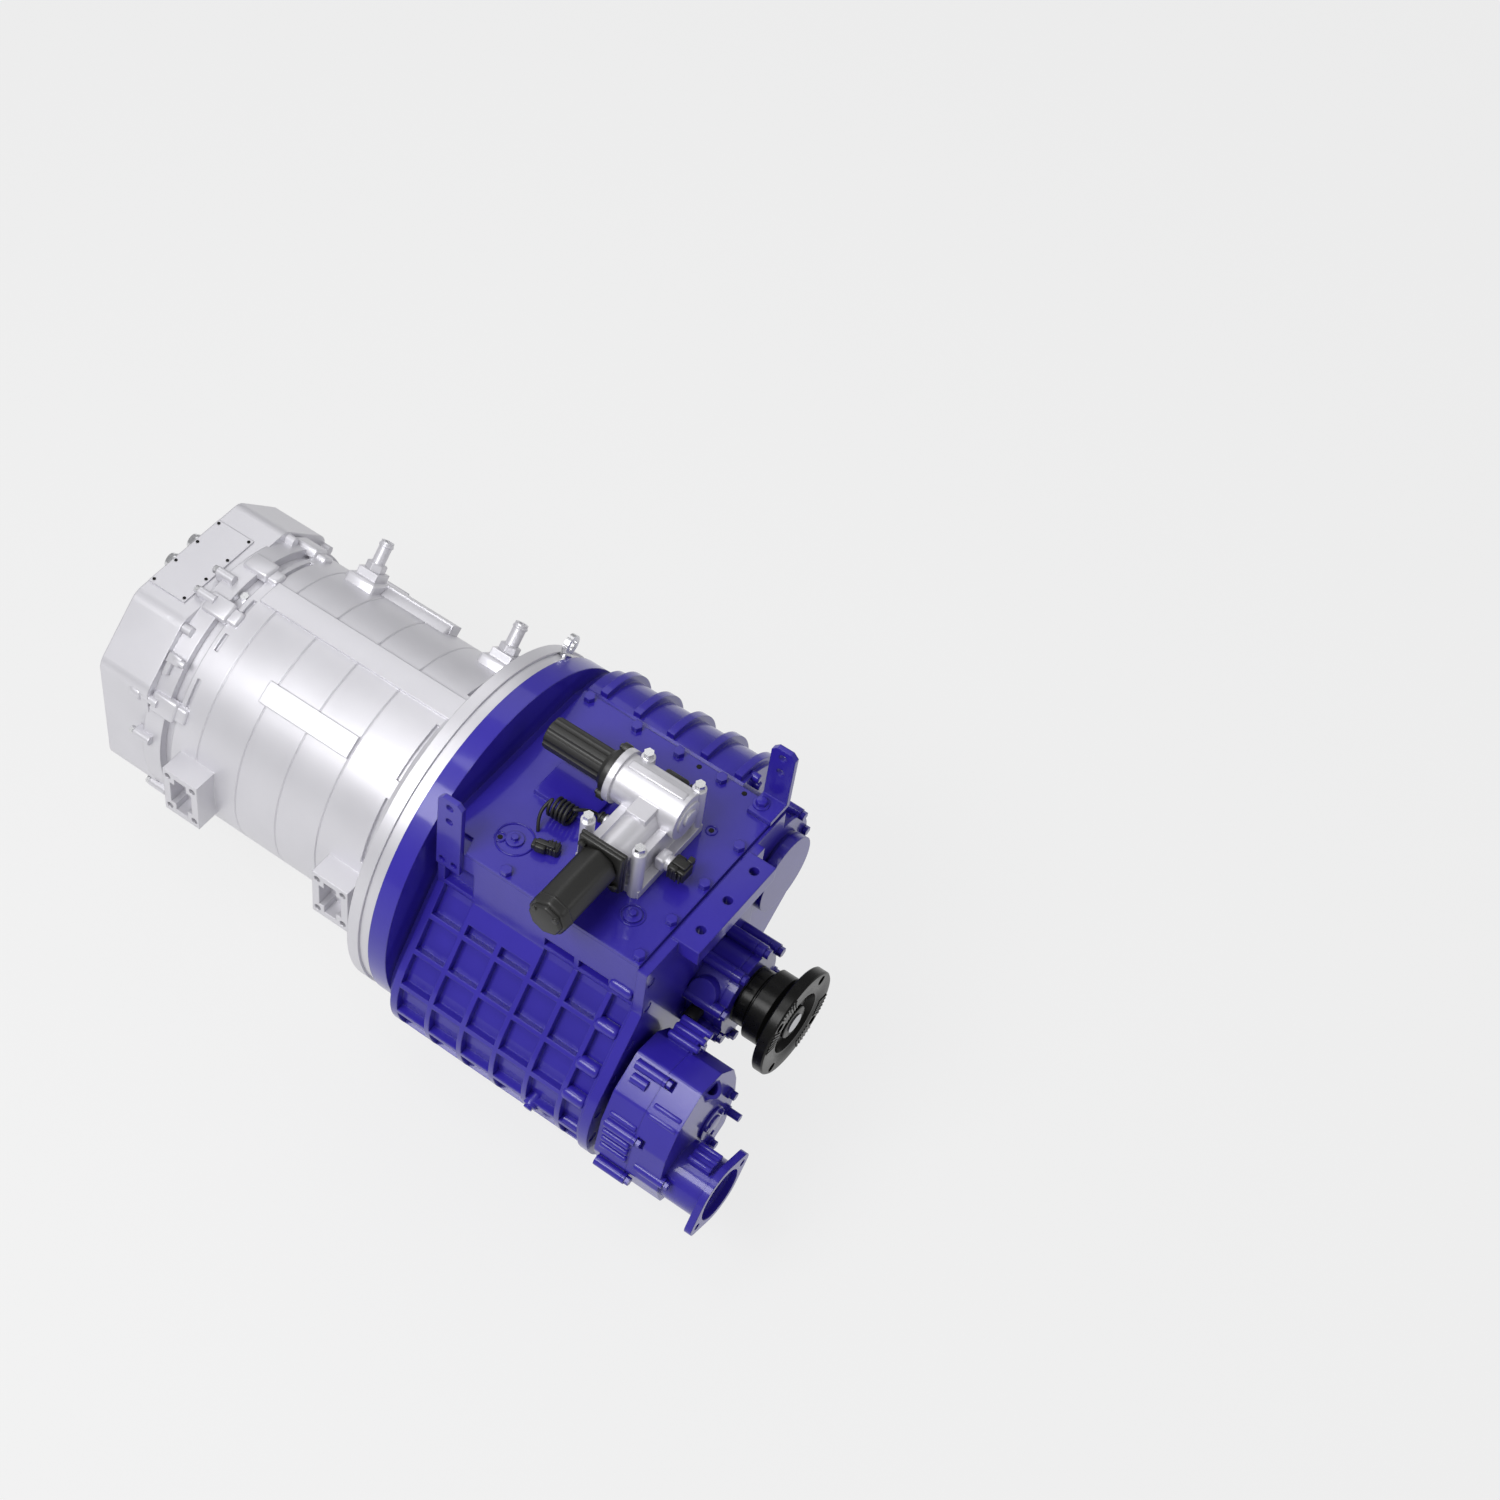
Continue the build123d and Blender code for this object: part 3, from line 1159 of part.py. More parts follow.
def output_nut():
    x = X_FACE - OUT_RECESS_DEPTH
    nut = hexagon((x, 0, 0), (1, 0, 0), OUT_NUT_AF, 11)
    return nut - rod(x - 1, x + 12, OUTPUT_THREAD_R + FIT)


def output_bearings():
    inner = OUTPUT_JOURNAL_R + RUN
    rear = ring(X_REAR + 1, X_PLATE - 1, OUTPUT_BEARING_R, inner)
    front = ring(X_OUT - OUTPUT_BEARING_WIDTH, X_OUT, OUTPUT_BEARING_R, inner)
    return [rear, front]


# Input side and gears

def input_shaft():
    """Input shaft with its gear cut on it."""
    x_end = DRIVE_GEAR_X + DRIVE_GEAR_WIDTH + 12
    profile = [(4, MOTOR_SPLINE_R + FIT), (4, INPUT_SHAFT_R), (x_end, INPUT_SHAFT_R),
               (x_end, PILOT_R + RUN), (x_end - PILOT_LENGTH - 2, PILOT_R + RUN),
               (x_end - PILOT_LENGTH - 2, 0), (MOTOR_SPLINE_END + 2, 0), (MOTOR_SPLINE_END + 2, MOTOR_SPLINE_R + FIT)]
    gear = gear_blank(DRIVE_GEAR_X, DRIVE_GEAR_WIDTH, INPUT_TEETH, INPUT_MODULE, SHAFT_ANGLE)
    gear -= rod(DRIVE_GEAR_X - 1, DRIVE_GEAR_X + DRIVE_GEAR_WIDTH + 1, INPUT_SHAFT_R - 2)
    return turned(profile) + gear


def input_bearing():
    x1 = X_CASE + FRONT_WALL
    return [ring(x1 - INPUT_BEARING_WIDTH, x1, INPUT_BEARING_R, INPUT_SHAFT_R + RUN)]


def main_gear(x, width, teeth, module, dog_side):
    """Gear that turns freely on the main shaft, with its clutch ring beside it."""
    blank = gear_blank(x, width, teeth, module, SHAFT_ANGLE)
    if dog_side > 0:
        blank += rod(x + width, x + width + DOG_WIDTH, DOG_R)
    else:
        blank += rod(x - DOG_WIDTH, x, DOG_R)
    return blank - rod(x - DOG_WIDTH - 1, x + width + DOG_WIDTH + 1, MAIN_SHAFT_R + RUN)


def high_gear():
    return main_gear(HIGH_GEAR_X, HIGH_GEAR_WIDTH, HIGH_TEETH, HIGH_MODULE, 1)


def low_gear():
    return main_gear(LOW_GEAR_X, LOW_GEAR_WIDTH, LOW_TEETH, LOW_MODULE, -1)


def shift_sleeve():
    x0 = SLEEVE_X
    x1 = x0 + SLEEVE_WIDTH
    mid = (x0 + x1) / 2
    half = SLEEVE_GROOVE_WIDTH / 2
    groove_r = SLEEVE_R - SLEEVE_GROOVE_DEPTH
    bore = HUB_R + RUN
    profile = [(x0, bore), (x0, SLEEVE_R), (mid - half, SLEEVE_R), (mid - half, groove_r),
               (mid + half, groove_r), (mid + half, SLEEVE_R), (x1, SLEEVE_R), (x1, bore)]
    return turned(profile)


def counter_phase(side, main_teeth, counter_teeth):
    line = SHAFT_ANGLE if side > 0 else SHAFT_ANGLE + 180.0
    return mate_phase(SHAFT_ANGLE, main_teeth, counter_teeth, line)


def countershaft(side):
    """Countershaft with its low pinion cut on it."""
    y = side * SHAFT_Y
    z = side * SHAFT_Z
    x0 = X_CASE + FRONT_WALL - COUNTER_BEARING_WIDTH + 1
    x_end = X_PTO + 44 if side < 0 else X_REAR + REAR_THIN - 1
    x_journal = X_REAR - 2 if side < 0 else X_REAR + REAR_THIN - COUNTER_BEARING_WIDTH - 2
    profile = [(x0, 0), (x0, COUNTER_JOURNAL_R), (X_CASE + FRONT_WALL + 2, COUNTER_JOURNAL_R),
               (X_CASE + FRONT_WALL + 2, COUNTER_R), (x_journal, COUNTER_R), (x_journal, COUNTER_JOURNAL_R),
               (x_end, COUNTER_JOURNAL_R), (x_end, 0)]
    shaft = turned(profile, y, z)
    phase = counter_phase(side, LOW_TEETH, LOW_PINION_TEETH)
    return shaft + gear_blank(LOW_GEAR_X, LOW_GEAR_WIDTH, LOW_PINION_TEETH, LOW_MODULE, phase, y, z)


def countershaft_gears(side):
    """Drive gear and high pinion, pressed on the countershaft."""
    y = side * SHAFT_Y
    z = side * SHAFT_Z
    drive = gear_blank(DRIVE_GEAR_X, DRIVE_GEAR_WIDTH, DRIVEN_TEETH, INPUT_MODULE,
                       counter_phase(side, INPUT_TEETH, DRIVEN_TEETH), y, z)
    high = gear_blank(HIGH_GEAR_X, HIGH_GEAR_WIDTH, HIGH_PINION_TEETH, HIGH_MODULE,
                      counter_phase(side, HIGH_TEETH, HIGH_PINION_TEETH), y, z)
    bore = rod(DRIVE_GEAR_X - 1, HIGH_GEAR_X + HIGH_GEAR_WIDTH + 1, COUNTER_R + FIT, y, z)
    return group([drive - bore, high - bore])


def countershaft_bearings():
    rings = []
    x1 = X_CASE + FRONT_WALL
    inner = COUNTER_JOURNAL_R + RUN
    for side in SIDES.values():
        y = side * SHAFT_Y
        z = side * SHAFT_Z
        rings.append(ring(x1 - COUNTER_BEARING_WIDTH, x1, COUNTER_BEARING_R, inner, y, z))
    rings.append(ring(X_REAR, X_PLATE, COUNTER_BEARING_R, inner, -SHAFT_Y, -SHAFT_Z))
    x2 = X_REAR + REAR_THIN
    rings.append(ring(x2 - COUNTER_BEARING_WIDTH, x2, COUNTER_BEARING_R, inner, SHAFT_Y, SHAFT_Z))
    return rings


def gearbox_bearings():
    return group(input_bearing() + countershaft_bearings() + output_bearings() + pto_bearings())


# Shift rail, fork and actuator

def shift_rail():
    x0 = X_CASE + FRONT_WALL - RAIL_BORE_DEPTH + 1 + SHIFT_TRAVEL
    rail = rod(x0, X_REAR + 9, RAIL_R, RAIL_Y, RAIL_Z)
    half = HORN_GAP / 2
    for x in (FINGER_X - half - HORN_THICK, FINGER_X + half):
        rail += block(x, x + HORN_THICK, RAIL_Y - HORN_WIDTH / 2, RAIL_Y + HORN_WIDTH / 2, RAIL_Z, HORN_TOP)
    return rail


def shift_fork():
    mid = SLEEVE_X + SLEEVE_WIDTH / 2
    x0 = mid - FORK_THICK / 2
    x1 = mid + FORK_THICK / 2
    groove_r = SLEEVE_R - SLEEVE_GROOVE_DEPTH + RUN
    fork = sector(x0, x1, groove_r, FORK_R, -FORK_SPREAD, FORK_SPREAD)
    fork += block(x0, x1, RAIL_Y - 15, RAIL_Y + 15, FORK_R - 12, RAIL_Z)
    fork += rod(mid - FORK_BOSS_LENGTH / 2, mid + FORK_BOSS_LENGTH / 2, FORK_BOSS_R, RAIL_Y, RAIL_Z)
    return fork - rod(mid - FORK_BOSS_LENGTH, mid + FORK_BOSS_LENGTH, RAIL_R + FIT, RAIL_Y, RAIL_Z)


ACT_SHANK_R = 4.0


def actuator_bolt_places():
    return [(x, y) for x in ACT_BOLT_X for y in ACT_BOLT_Y]


def shift_actuator_body():
    x0, x1 = ACT_BOLT_X
    y0, y1 = ACT_BOLT_Y
    bx0, bx1 = ACT_BOX_X
    body = block(bx0, bx1, y0 + 8, y1 - 8, COVER_TOP, ACT_BOX_TOP)
    body += block(x0 - 10, x1 + 10, y0 - 6, y1 + 6, COVER_TOP, COVER_TOP + ACT_BASE_THICK)
    body += rod(*SHIFT_BARREL_X, SHIFT_BARREL_R, SCREW_Y, SCREW_Z)
    body += rod(SHIFT_BARREL_X[0], SHIFT_BARREL_X[0] + SHIFT_FLANGE_THICK, SHIFT_FLANGE_R, SCREW_Y, SCREW_Z)
    body += peg((ACT_X, SELECT_BARREL_Y[0], SELECT_BARREL_Z), (0, 1, 0), SELECT_BARREL_R,
                SELECT_BARREL_Y[1] - SELECT_BARREL_Y[0])
    body += block(ACT_X - 16, ACT_X + 16, -40, 0, SELECT_BARREL_Z, SELECT_BARREL_Z + SELECT_BARREL_R + 4)
    for x, y in actuator_bolt_places():
        body += peg((x, y, COVER_TOP), (0, 0, 1), ACT_COLUMN_R, ACT_TOP - COVER_TOP)
    body -= rod(SHIFT_BARREL_X[0] - 1, SHIFT_BARREL_X[1] - 8, NUT_R + RUN, SCREW_Y, SCREW_Z)
    body -= block(bx0 + ACT_WALL, bx1 - ACT_WALL, y0 + 8 + ACT_WALL, y1 - 8 - ACT_WALL, COVER_TOP - 1, ACT_BOX_TOP - 6)
    for x, y in actuator_bolt_places():
        body -= hole((x, y, ACT_TOP), (0, 0, 1), ACT_SHANK_R + FIT, ACT_TOP - COVER_TOP + 1)
    return body


def actuator_bolts():
    return group([bolt((x, y, ACT_TOP), (0, 0, 1), ACT_BOLT_AF, ACT_BOLT_HEAD, ACT_SHANK_R,
                       ACT_TOP - CASE_TOP - 1) for x, y in actuator_bolt_places()])


def shift_motor():
    x1 = SHIFT_BARREL_X[0]
    x0 = x1 - MOTOR_FLANGE_THICK
    body = rod(x0 - SHIFT_MOTOR_LENGTH, x0, SHIFT_MOTOR_R, SCREW_Y, SCREW_Z)
    body += rod(x0, x1, SHIFT_BARREL_R, SCREW_Y, SCREW_Z)
    return body


def select_motor():
    y1 = SELECT_BARREL_Y[0]
    y0 = y1 - MOTOR_FLANGE_THICK
    body = peg((ACT_X, y0, SELECT_MOTOR_Z), (0, -1, 0), SELECT_MOTOR_R, SELECT_MOTOR_LENGTH)
    body += block(ACT_X - 36, ACT_X + 36, y0, y1, SELECT_MOTOR_Z - 42, SELECT_MOTOR_Z + 34)
    return body


def shift_carriage():
    """Screw nut with the cross rod that carries the select finger."""
    nut = ring(FINGER_X - NUT_LENGTH / 2, FINGER_X + NUT_LENGTH / 2, NUT_R, 8, SCREW_Y, SCREW_Z)
    cross = peg((FINGER_X, SELECT_ROD_Y0, SELECT_ROD_Z), (0, 1, 0), SELECT_ROD_R, SCREW_Y - SELECT_ROD_Y0)
    arm = block(FINGER_X - 8, FINGER_X + 8, SCREW_Y - 7, SCREW_Y + 7, SELECT_ROD_Z - 8, SCREW_Z - 13)
    return nut + cross + arm


def select_finger():
    y = RAIL_Y - SELECT_TRAVEL / 2
    z = SELECT_ROD_Z
    hub = peg((FINGER_X, y - FINGER_HUB_LENGTH / 2, z), (0, 1, 0), FINGER_HUB_R, FINGER_HUB_LENGTH)
    half = FINGER_THICK / 2
    blade = block(FINGER_X - half, FINGER_X + half, y - FINGER_WIDTH / 2, y + FINGER_WIDTH / 2,
                  RAIL_Z + RAIL_R + 8, z)
    finger = hub + blade
    return finger - peg((FINGER_X, y - FINGER_HUB_LENGTH, z), (0, 1, 0), SELECT_ROD_R + RUN, 2 * FINGER_HUB_LENGTH)


def actuator_connectors():
    y, z = SCREW_Y, SCREW_Z
    right = block(ACT_X - 22, ACT_X + 12, y + SHIFT_BARREL_R, y + SHIFT_BARREL_R + 24, z - 26, z - 4)
    right += block(ACT_X + 12, ACT_X + 28, y + SHIFT_BARREL_R + 2, y + SHIFT_BARREL_R + 18, z - 24, z - 8)
    x = ACT_BOLT_X[1] + 10
    y0, y1 = FRONT_CONNECTOR_Y
    front = block(x, x + 37, y0, y1, COVER_TOP + ACT_BASE_THICK, COVER_TOP + ACT_BASE_THICK + 24)
    return group([right, front])


FRONT_CONNECTOR_Y = (-50.0, -22.0)


# Coiled lead

def coiled_lead():
    return rod(*COIL_X, COIL_R, COIL_Y, COVER_TOP + COIL_R + RUN)


# Power take-off

def pto_face(inset):
    centre_y = sum(p[0] for p in PTO_OUTLINE) / len(PTO_OUTLINE)
    centre_z = sum(p[1] for p in PTO_OUTLINE) / len(PTO_OUTLINE)
    points = []
    for y, z in PTO_OUTLINE:
        d = hypot(y - centre_y, z - centre_z)
        k = (d - inset) / d
        points.append((centre_y + (y - centre_y) * k, centre_z + (z - centre_z) * k))
    return points


def pto_housing():
    body = prism(pto_face(0), X_PTO, X_SPLIT, 10)
    body += rod(X_PLATE, X_PTO, PTO_NECK_R, -SHAFT_Y, -SHAFT_Z)
    for y, z in PTO_SIDE_LUGS:
        body += rod(X_PTO + 8, X_SPLIT, PTO_LUG_R, y, z)
    body += rod(X_PTO + 12, X_SPLIT - 16, PTO_LUG_R, *PTO_SIDE_RIB)
    body += block(X_PTO + 17, X_SPLIT, *PTO_TOP_PAD_Y, -10, PTO_TOP_PAD_Z)
    body -= pto_cavity(X_PTO + PTO_WALL, X_SPLIT + 1)
    body -= rod(X_PLATE - 1, X_PTO + PTO_WALL + 1, COUNTER_BEARING_R + FIT, -SHAFT_Y, -SHAFT_Z)
    for seat, y, z in pto_bolt_places():
        body -= rod(X_SPLIT - 15, X_SPLIT + 1, PTO_BOLT_R + FIT, y, z)
    return body


PTO_BOLT_R = 3.5
PTO_FOOT = 5.0


def pto_bolt_places():
    """Bolts that clamp the cover: where the head seats, and the place across."""
    short = [(X_SPLIT + PTO_FOOT, y, z) for y, z in PTO_SIDE_LUGS]
    y, z = (PTO_TOP_PAD_Y[0] + PTO_TOP_PAD_Y[1]) / 2, PTO_TOP_PAD_Z - 13
    return short + [(X_SPLIT + PTO_FOOT, y, z)]


def pto_end_bolt_places():
    return [(X_PTO_END + 6, y, z) for y, z in PTO_END_LUGS]


def pto_bolts():
    """Clamp bolts, the bolts of the end face and the stud beside them."""
    bolts = [bolt(at, (1, 0, 0), 11, 7, PTO_BOLT_R, PTO_FOOT + 14) for at in pto_bolt_places()]
    bolts += [bolt(at, (1, 0, 0), 11, 7, PTO_BOLT_R, 20) for at in pto_end_bolt_places()]
    y, z = STUD_PLACE
    bolts.append(rod(X_PTO_END - 10, X_PTO_END + 5, PTO_BOLT_R, y, z) + rod(X_PTO_END + 5, X_PTO_END + 24, 6, y, z))
    return group(bolts)


def pto_cavity(x0, x1):
    return rod(x0, x1, PTO_CAVITY_R, -SHAFT_Y, -SHAFT_Z) + rod(x0, x1, PTO_CAVITY_R, PTO_Y, PTO_Z)


def pto_cover():
    body = prism(pto_face(0), X_SPLIT, X_PTO_END, 10)
    body += rod(X_PTO_END, X_PUMP, PUMP_BARREL_R, PTO_Y, PTO_Z)
    body += pump_flange()
    pad = [X_PUMP - d for d in reversed(PUMP_PAD_FROM_END)]
    body += block(*pad, *PUMP_PAD_Y, PTO_Z + PUMP_BARREL_R / 2, PUMP_PAD_Z)
    body += block(X_SPLIT, X_SPLIT + PTO_FOOT, *PTO_TOP_PAD_Y, -10, PTO_TOP_PAD_Z)
    for seat, y, z in pto_bolt_places():
        body += rod(X_SPLIT, seat, PTO_LUG_R, y, z)
    for seat, y, z in pto_end_bolt_places():
        body += rod(X_SPLIT + 12, seat, PTO_LUG_R, y, z)
    body += rod(X_SPLIT + 12, X_PTO_END + 5, PTO_LUG_R, *STUD_PLACE)
    body += peg(PORT_PLACE, PORT_AXIS, PORT_R + 6, 10) + peg(PORT_PLACE, [-c for c in PORT_AXIS], PORT_R + 6, 24)
    body -= pto_cavity(X_SPLIT - 1, X_PTO_END - PTO_WALL)
    body -= rod(X_PTO_END - PTO_WALL - 1, X_PUMP + 1, PTO_BEARING_R + FIT, PTO_Y, PTO_Z)
    body -= rod(X_PUMP - PUMP_PILOT_DEPTH, X_PUMP + 1, PUMP_PILOT_R, PTO_Y, PTO_Z)
    for y, z in pump_ears():
        body -= rod(X_PUMP - PUMP_FLANGE_THICK - 1, X_PUMP + 1, PUMP_HOLE_R, y, z)
    for seat, y, z in pto_bolt_places():
        body -= rod(X_SPLIT - 1, seat + 1, PTO_BOLT_R + FIT, y, z)
        body -= rod(seat, seat + 12, PTO_LUG_R, y, z)
    for seat, y, z in pto_end_bolt_places() + [(X_PTO_END + 5, *STUD_PLACE)]:
        body -= rod(seat - 21, seat + 1, PTO_BOLT_R + FIT, y, z)
    tip = tuple(p + 11 * c for p, c in zip(PORT_PLACE, PORT_AXIS))
    return body - peg(tip, [-c for c in PORT_AXIS], PORT_R, 20)


def pump_ears():
    dy = PUMP_HOLE_SPACING / 2 * cos(radians(PUMP_EAR_ANGLE))
    dz = PUMP_HOLE_SPACING / 2 * sin(radians(PUMP_EAR_ANGLE))
    return [(PTO_Y + dy, PTO_Z + dz), (PTO_Y - dy, PTO_Z - dz)]


def pump_flange():
    """Two ears joined to the barrel by tangent sides."""
    plane = yz(X_PUMP - PUMP_FLANGE_THICK, PTO_Y, PTO_Z)
    ears = [Pos(s * PUMP_HOLE_SPACING / 2, 0) * Circle(PUMP_EAR_R) for s in (-1, 1)]
    face = make_hull([*Circle(PUMP_FLANGE_R).edges(), *ears[0].edges(), *ears[1].edges()])
    return extrude(plane * (Rot(0, 0, PUMP_EAR_ANGLE) * face), PUMP_FLANGE_THICK)


def pto_gear(x, phase, y, z, bore):
    blank = gear_blank(x, PTO_GEAR_WIDTH, PTO_TEETH, PTO_MODULE, phase, y, z)
    return blank - rod(x - 1, x + PTO_GEAR_WIDTH + 1, bore, y, z)


PTO_LINE = degrees(atan2(PTO_Z + SHAFT_Z, PTO_Y + SHAFT_Y))
PTO_GEAR_X = X_PTO + PTO_WALL + 6


def pto_drive_gear():
    return pto_gear(PTO_GEAR_X, PTO_LINE, -SHAFT_Y, -SHAFT_Z, COUNTER_JOURNAL_R + FIT)


def pto_shaft():
    """Power take-off shaft with its gear cut on it."""
    profile = [(X_PTO + PTO_WALL + 2, 0), (X_PTO + PTO_WALL + 2, PTO_SHAFT_R),
               (X_PUMP - PUMP_PILOT_DEPTH - 6, PTO_SHAFT_R), (X_PUMP - PUMP_PILOT_DEPTH - 6, 9),
               (X_PUMP - PUMP_PILOT_DEPTH - 30, 9), (X_PUMP - PUMP_PILOT_DEPTH - 30, 0)]
    phase = mate_phase(PTO_LINE, PTO_TEETH, PTO_TEETH, PTO_LINE)
    return turned(profile, PTO_Y, PTO_Z) + pto_gear(PTO_GEAR_X, phase, PTO_Y, PTO_Z, PTO_SHAFT_R - 2)


def pto_bearings():
    inner = PTO_SHAFT_R + RUN
    a = ring(X_PTO_END - PTO_WALL, X_PTO_END - PTO_WALL + PTO_BEARING_WIDTH, PTO_BEARING_R, inner, PTO_Y, PTO_Z)
    x = X_PTO_END + 16
    b = ring(x, x + PTO_BEARING_WIDTH, PTO_BEARING_R, inner, PTO_Y, PTO_Z)
    return [a, b]


NODES = {
    "motor_housing": motor_housing,
    "front_end_shield": front_end_shield,
    "rear_end_shield": rear_end_shield,
    "rear_end_cover": rear_end_cover,
    "terminal_cover": terminal_cover,
    "terminal_screws": terminal_screws,
    "cable_glands": cable_glands,
    "end_cover_bolts": end_cover_bolts,
    "signal_connector": signal_connector,
    "coolant_nozzles": coolant_nozzles,
    "lifting_eye": lifting_eye,
    "stator_core": stator_core,
    "stator_windings": stator_windings,
    "rotor_core": rotor_core,
    "motor_shaft": motor_shaft,
    "motor_bearings": motor_bearings,
    "resolver_rotor": resolver_rotor,
    "resolver_stator": resolver_stator,
    "gearbox_case": gearbox_case,
    "rear_cover": rear_cover,
    "rear_cover_bolts": rear_cover_bolts,
    "top_cover": top_cover,
    "top_cover_bolts": top_cover_bolts,
    "oil_plugs": oil_plugs,
    "left_lifting_bracket": left_lifting_bracket,
    "right_lifting_bracket": right_lifting_bracket,
    "countershaft_cap": countershaft_cap,
    "output_housing": output_housing,
    "speed_sensor": speed_sensor,
    "output_cap": output_cap,
    "output_bolts": output_bolts,
    "output_seal": output_seal,
    "output_flange": output_flange,
    "output_shaft": output_shaft,
    "output_nut": output_nut,
    "input_shaft": input_shaft,
    "gearbox_bearings": gearbox_bearings,
    "high_gear": high_gear,
    "low_gear": low_gear,
    "shift_sleeve": shift_sleeve,
    "right_countershaft": lambda: countershaft(1),
    "left_countershaft": lambda: countershaft(-1),
    "right_countershaft_gears": lambda: countershaft_gears(1),
    "left_countershaft_gears": lambda: countershaft_gears(-1),
    "shift_rail": shift_rail,
    "shift_fork": shift_fork,
    "shift_actuator_body": shift_actuator_body,
    "actuator_bolts": actuator_bolts,
    "shift_motor": shift_motor,
    "select_motor": select_motor,
    "shift_carriage": shift_carriage,
    "select_finger": select_finger,
    "actuator_connectors": actuator_connectors,
    "coiled_lead": coiled_lead,
    "pto_housing": pto_housing,
    "pto_cover": pto_cover,
    "pto_bolts": pto_bolts,
    "pto_drive_gear": pto_drive_gear,
    "pto_shaft": pto_shaft,
}

os.makedirs("parts", exist_ok=True)
for name, make in NODES.items():
    part = Pos(-X_FACE, 0, 0) * make()
    export_step(part, f"parts/{name}.step")
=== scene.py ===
# %% [markdown]
# # An electric drive unit, dressed for its picture
# The unit is a bare cast motor bolted to a blue enamelled gearbox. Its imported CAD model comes
# in first and fixes every size and place. Everything after that is finish and fine detail.

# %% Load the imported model
import bmesh
import bpy
import json
from math import cos, pi, radians, sin
from mathutils import Matrix, Vector


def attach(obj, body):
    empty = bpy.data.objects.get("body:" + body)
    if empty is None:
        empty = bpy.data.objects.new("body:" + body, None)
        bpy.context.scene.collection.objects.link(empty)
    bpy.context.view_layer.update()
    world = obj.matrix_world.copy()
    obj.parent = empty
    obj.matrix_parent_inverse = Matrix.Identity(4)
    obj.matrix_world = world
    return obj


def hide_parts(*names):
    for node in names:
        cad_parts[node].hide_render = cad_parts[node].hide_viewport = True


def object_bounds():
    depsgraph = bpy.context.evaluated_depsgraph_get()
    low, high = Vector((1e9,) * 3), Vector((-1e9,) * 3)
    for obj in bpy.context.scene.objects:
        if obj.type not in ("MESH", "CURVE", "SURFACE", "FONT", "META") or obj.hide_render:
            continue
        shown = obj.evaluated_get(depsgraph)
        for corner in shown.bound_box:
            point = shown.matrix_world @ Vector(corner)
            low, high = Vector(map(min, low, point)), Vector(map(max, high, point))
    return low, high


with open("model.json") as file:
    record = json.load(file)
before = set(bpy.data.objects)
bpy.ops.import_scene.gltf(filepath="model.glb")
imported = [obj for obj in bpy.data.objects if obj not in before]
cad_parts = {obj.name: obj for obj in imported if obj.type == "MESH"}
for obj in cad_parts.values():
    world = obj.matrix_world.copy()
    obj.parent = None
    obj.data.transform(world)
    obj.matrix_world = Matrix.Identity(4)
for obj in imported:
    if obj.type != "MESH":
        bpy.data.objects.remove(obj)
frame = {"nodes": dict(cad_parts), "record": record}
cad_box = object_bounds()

# %% [markdown]
# ## Stations
# The drawing of the unit counts millimetres along the shafts from the joint between motor and
# gearbox. The model's origin is the face of the output flange, 527 mm further on. One small
# function turns a drawing place into a model place, so the numbers below can be read against
# the drawing.

# %% Drawing places in metres
FLANGE_FACE = 527.0


def at(x, y, z):
    return Vector(((x - FLANGE_FACE) / 1000, y / 1000, z / 1000))


def mm(value):
    return value / 1000


print("motor joint lies at", tuple(round(c, 3) for c in at(0, 0, 0)))

# %% [markdown]
# ## Colour and nodes
# Colours are picked as the eye sees them, in sRGB hex. Blender mixes light in linear values, so
# one function converts them. Another adds a shader node with its settings and links in one line,
# which keeps each recipe short enough to read. A noise texture has as many patches to a metre as
# its scale says, and a wave texture 20 / (2 pi) times as many bands, so two more functions turn a
# width in millimetres into a scale.

# %% Helpers for finishes
def linear(hex_code):
    parts = [int(hex_code[i:i + 2], 16) / 255 for i in (1, 3, 5)]
    values = [c / 12.92 if c <= 0.04045 else ((c + 0.055) / 1.055) ** 2.4 for c in parts]
    return (*values, 1.0)


def add(tree, kind, inputs, **settings):
    """Adds a node. An input is a plain value, or the output socket that feeds it."""
    node = tree.nodes.new(kind)
    for name, value in settings.items():
        setattr(node, name, value)
    for name, value in inputs.items():
        if isinstance(value, bpy.types.NodeSocket):
            tree.links.new(value, node.inputs[name])
        else:
            node.inputs[name].default_value = value
    return node


def new_finish(name):
    """An empty material and its node tree."""
    material = bpy.data.materials.new(name)
    material.use_nodes = True
    material.node_tree.nodes.clear()
    return material, material.node_tree


def cells(width):
    """The scale of a noise whose patches are about this many millimetres wide."""
    return 1 / mm(width)


def bands(width):
    """The scale of a wave whose bands lie this many millimetres apart."""
    return 2 * pi / 20 / mm(width)


def rounded_edges(tree, radius):
    """A surface direction that turns gently over each sharp edge, as a worn or cast edge does."""
    edge = add(tree, "ShaderNodeBevel", {"Radius": mm(radius)}, samples=6)
    return edge.outputs["Normal"]


print("aluminium grey in linear light:", [round(c, 3) for c in linear("#D4D4DA")])

# %% [markdown]
# ## Cast aluminium, blasted
# The motor is sand-cast aluminium, blasted with fine shot. That gives a pale, soft metal: it
# mirrors broad light but no sharp shapes. The skin has fine pits, and large patches that are a
# little darker where the melt cooled slower. Pits are a fine noise in the bump, and the patches a
# slow noise in the colour. Blasted metal is half way between a mirror and chalk, so the metallic
# value is a half, which keeps faces that mirror nothing bright from going dark.

# %% Finish: blasted cast aluminium
PATCH_WIDTH = 111.0
# Shot leaves pits under half a millimetre wide. They are drawn wider, so that they show.
PIT_WIDTH = 1.11


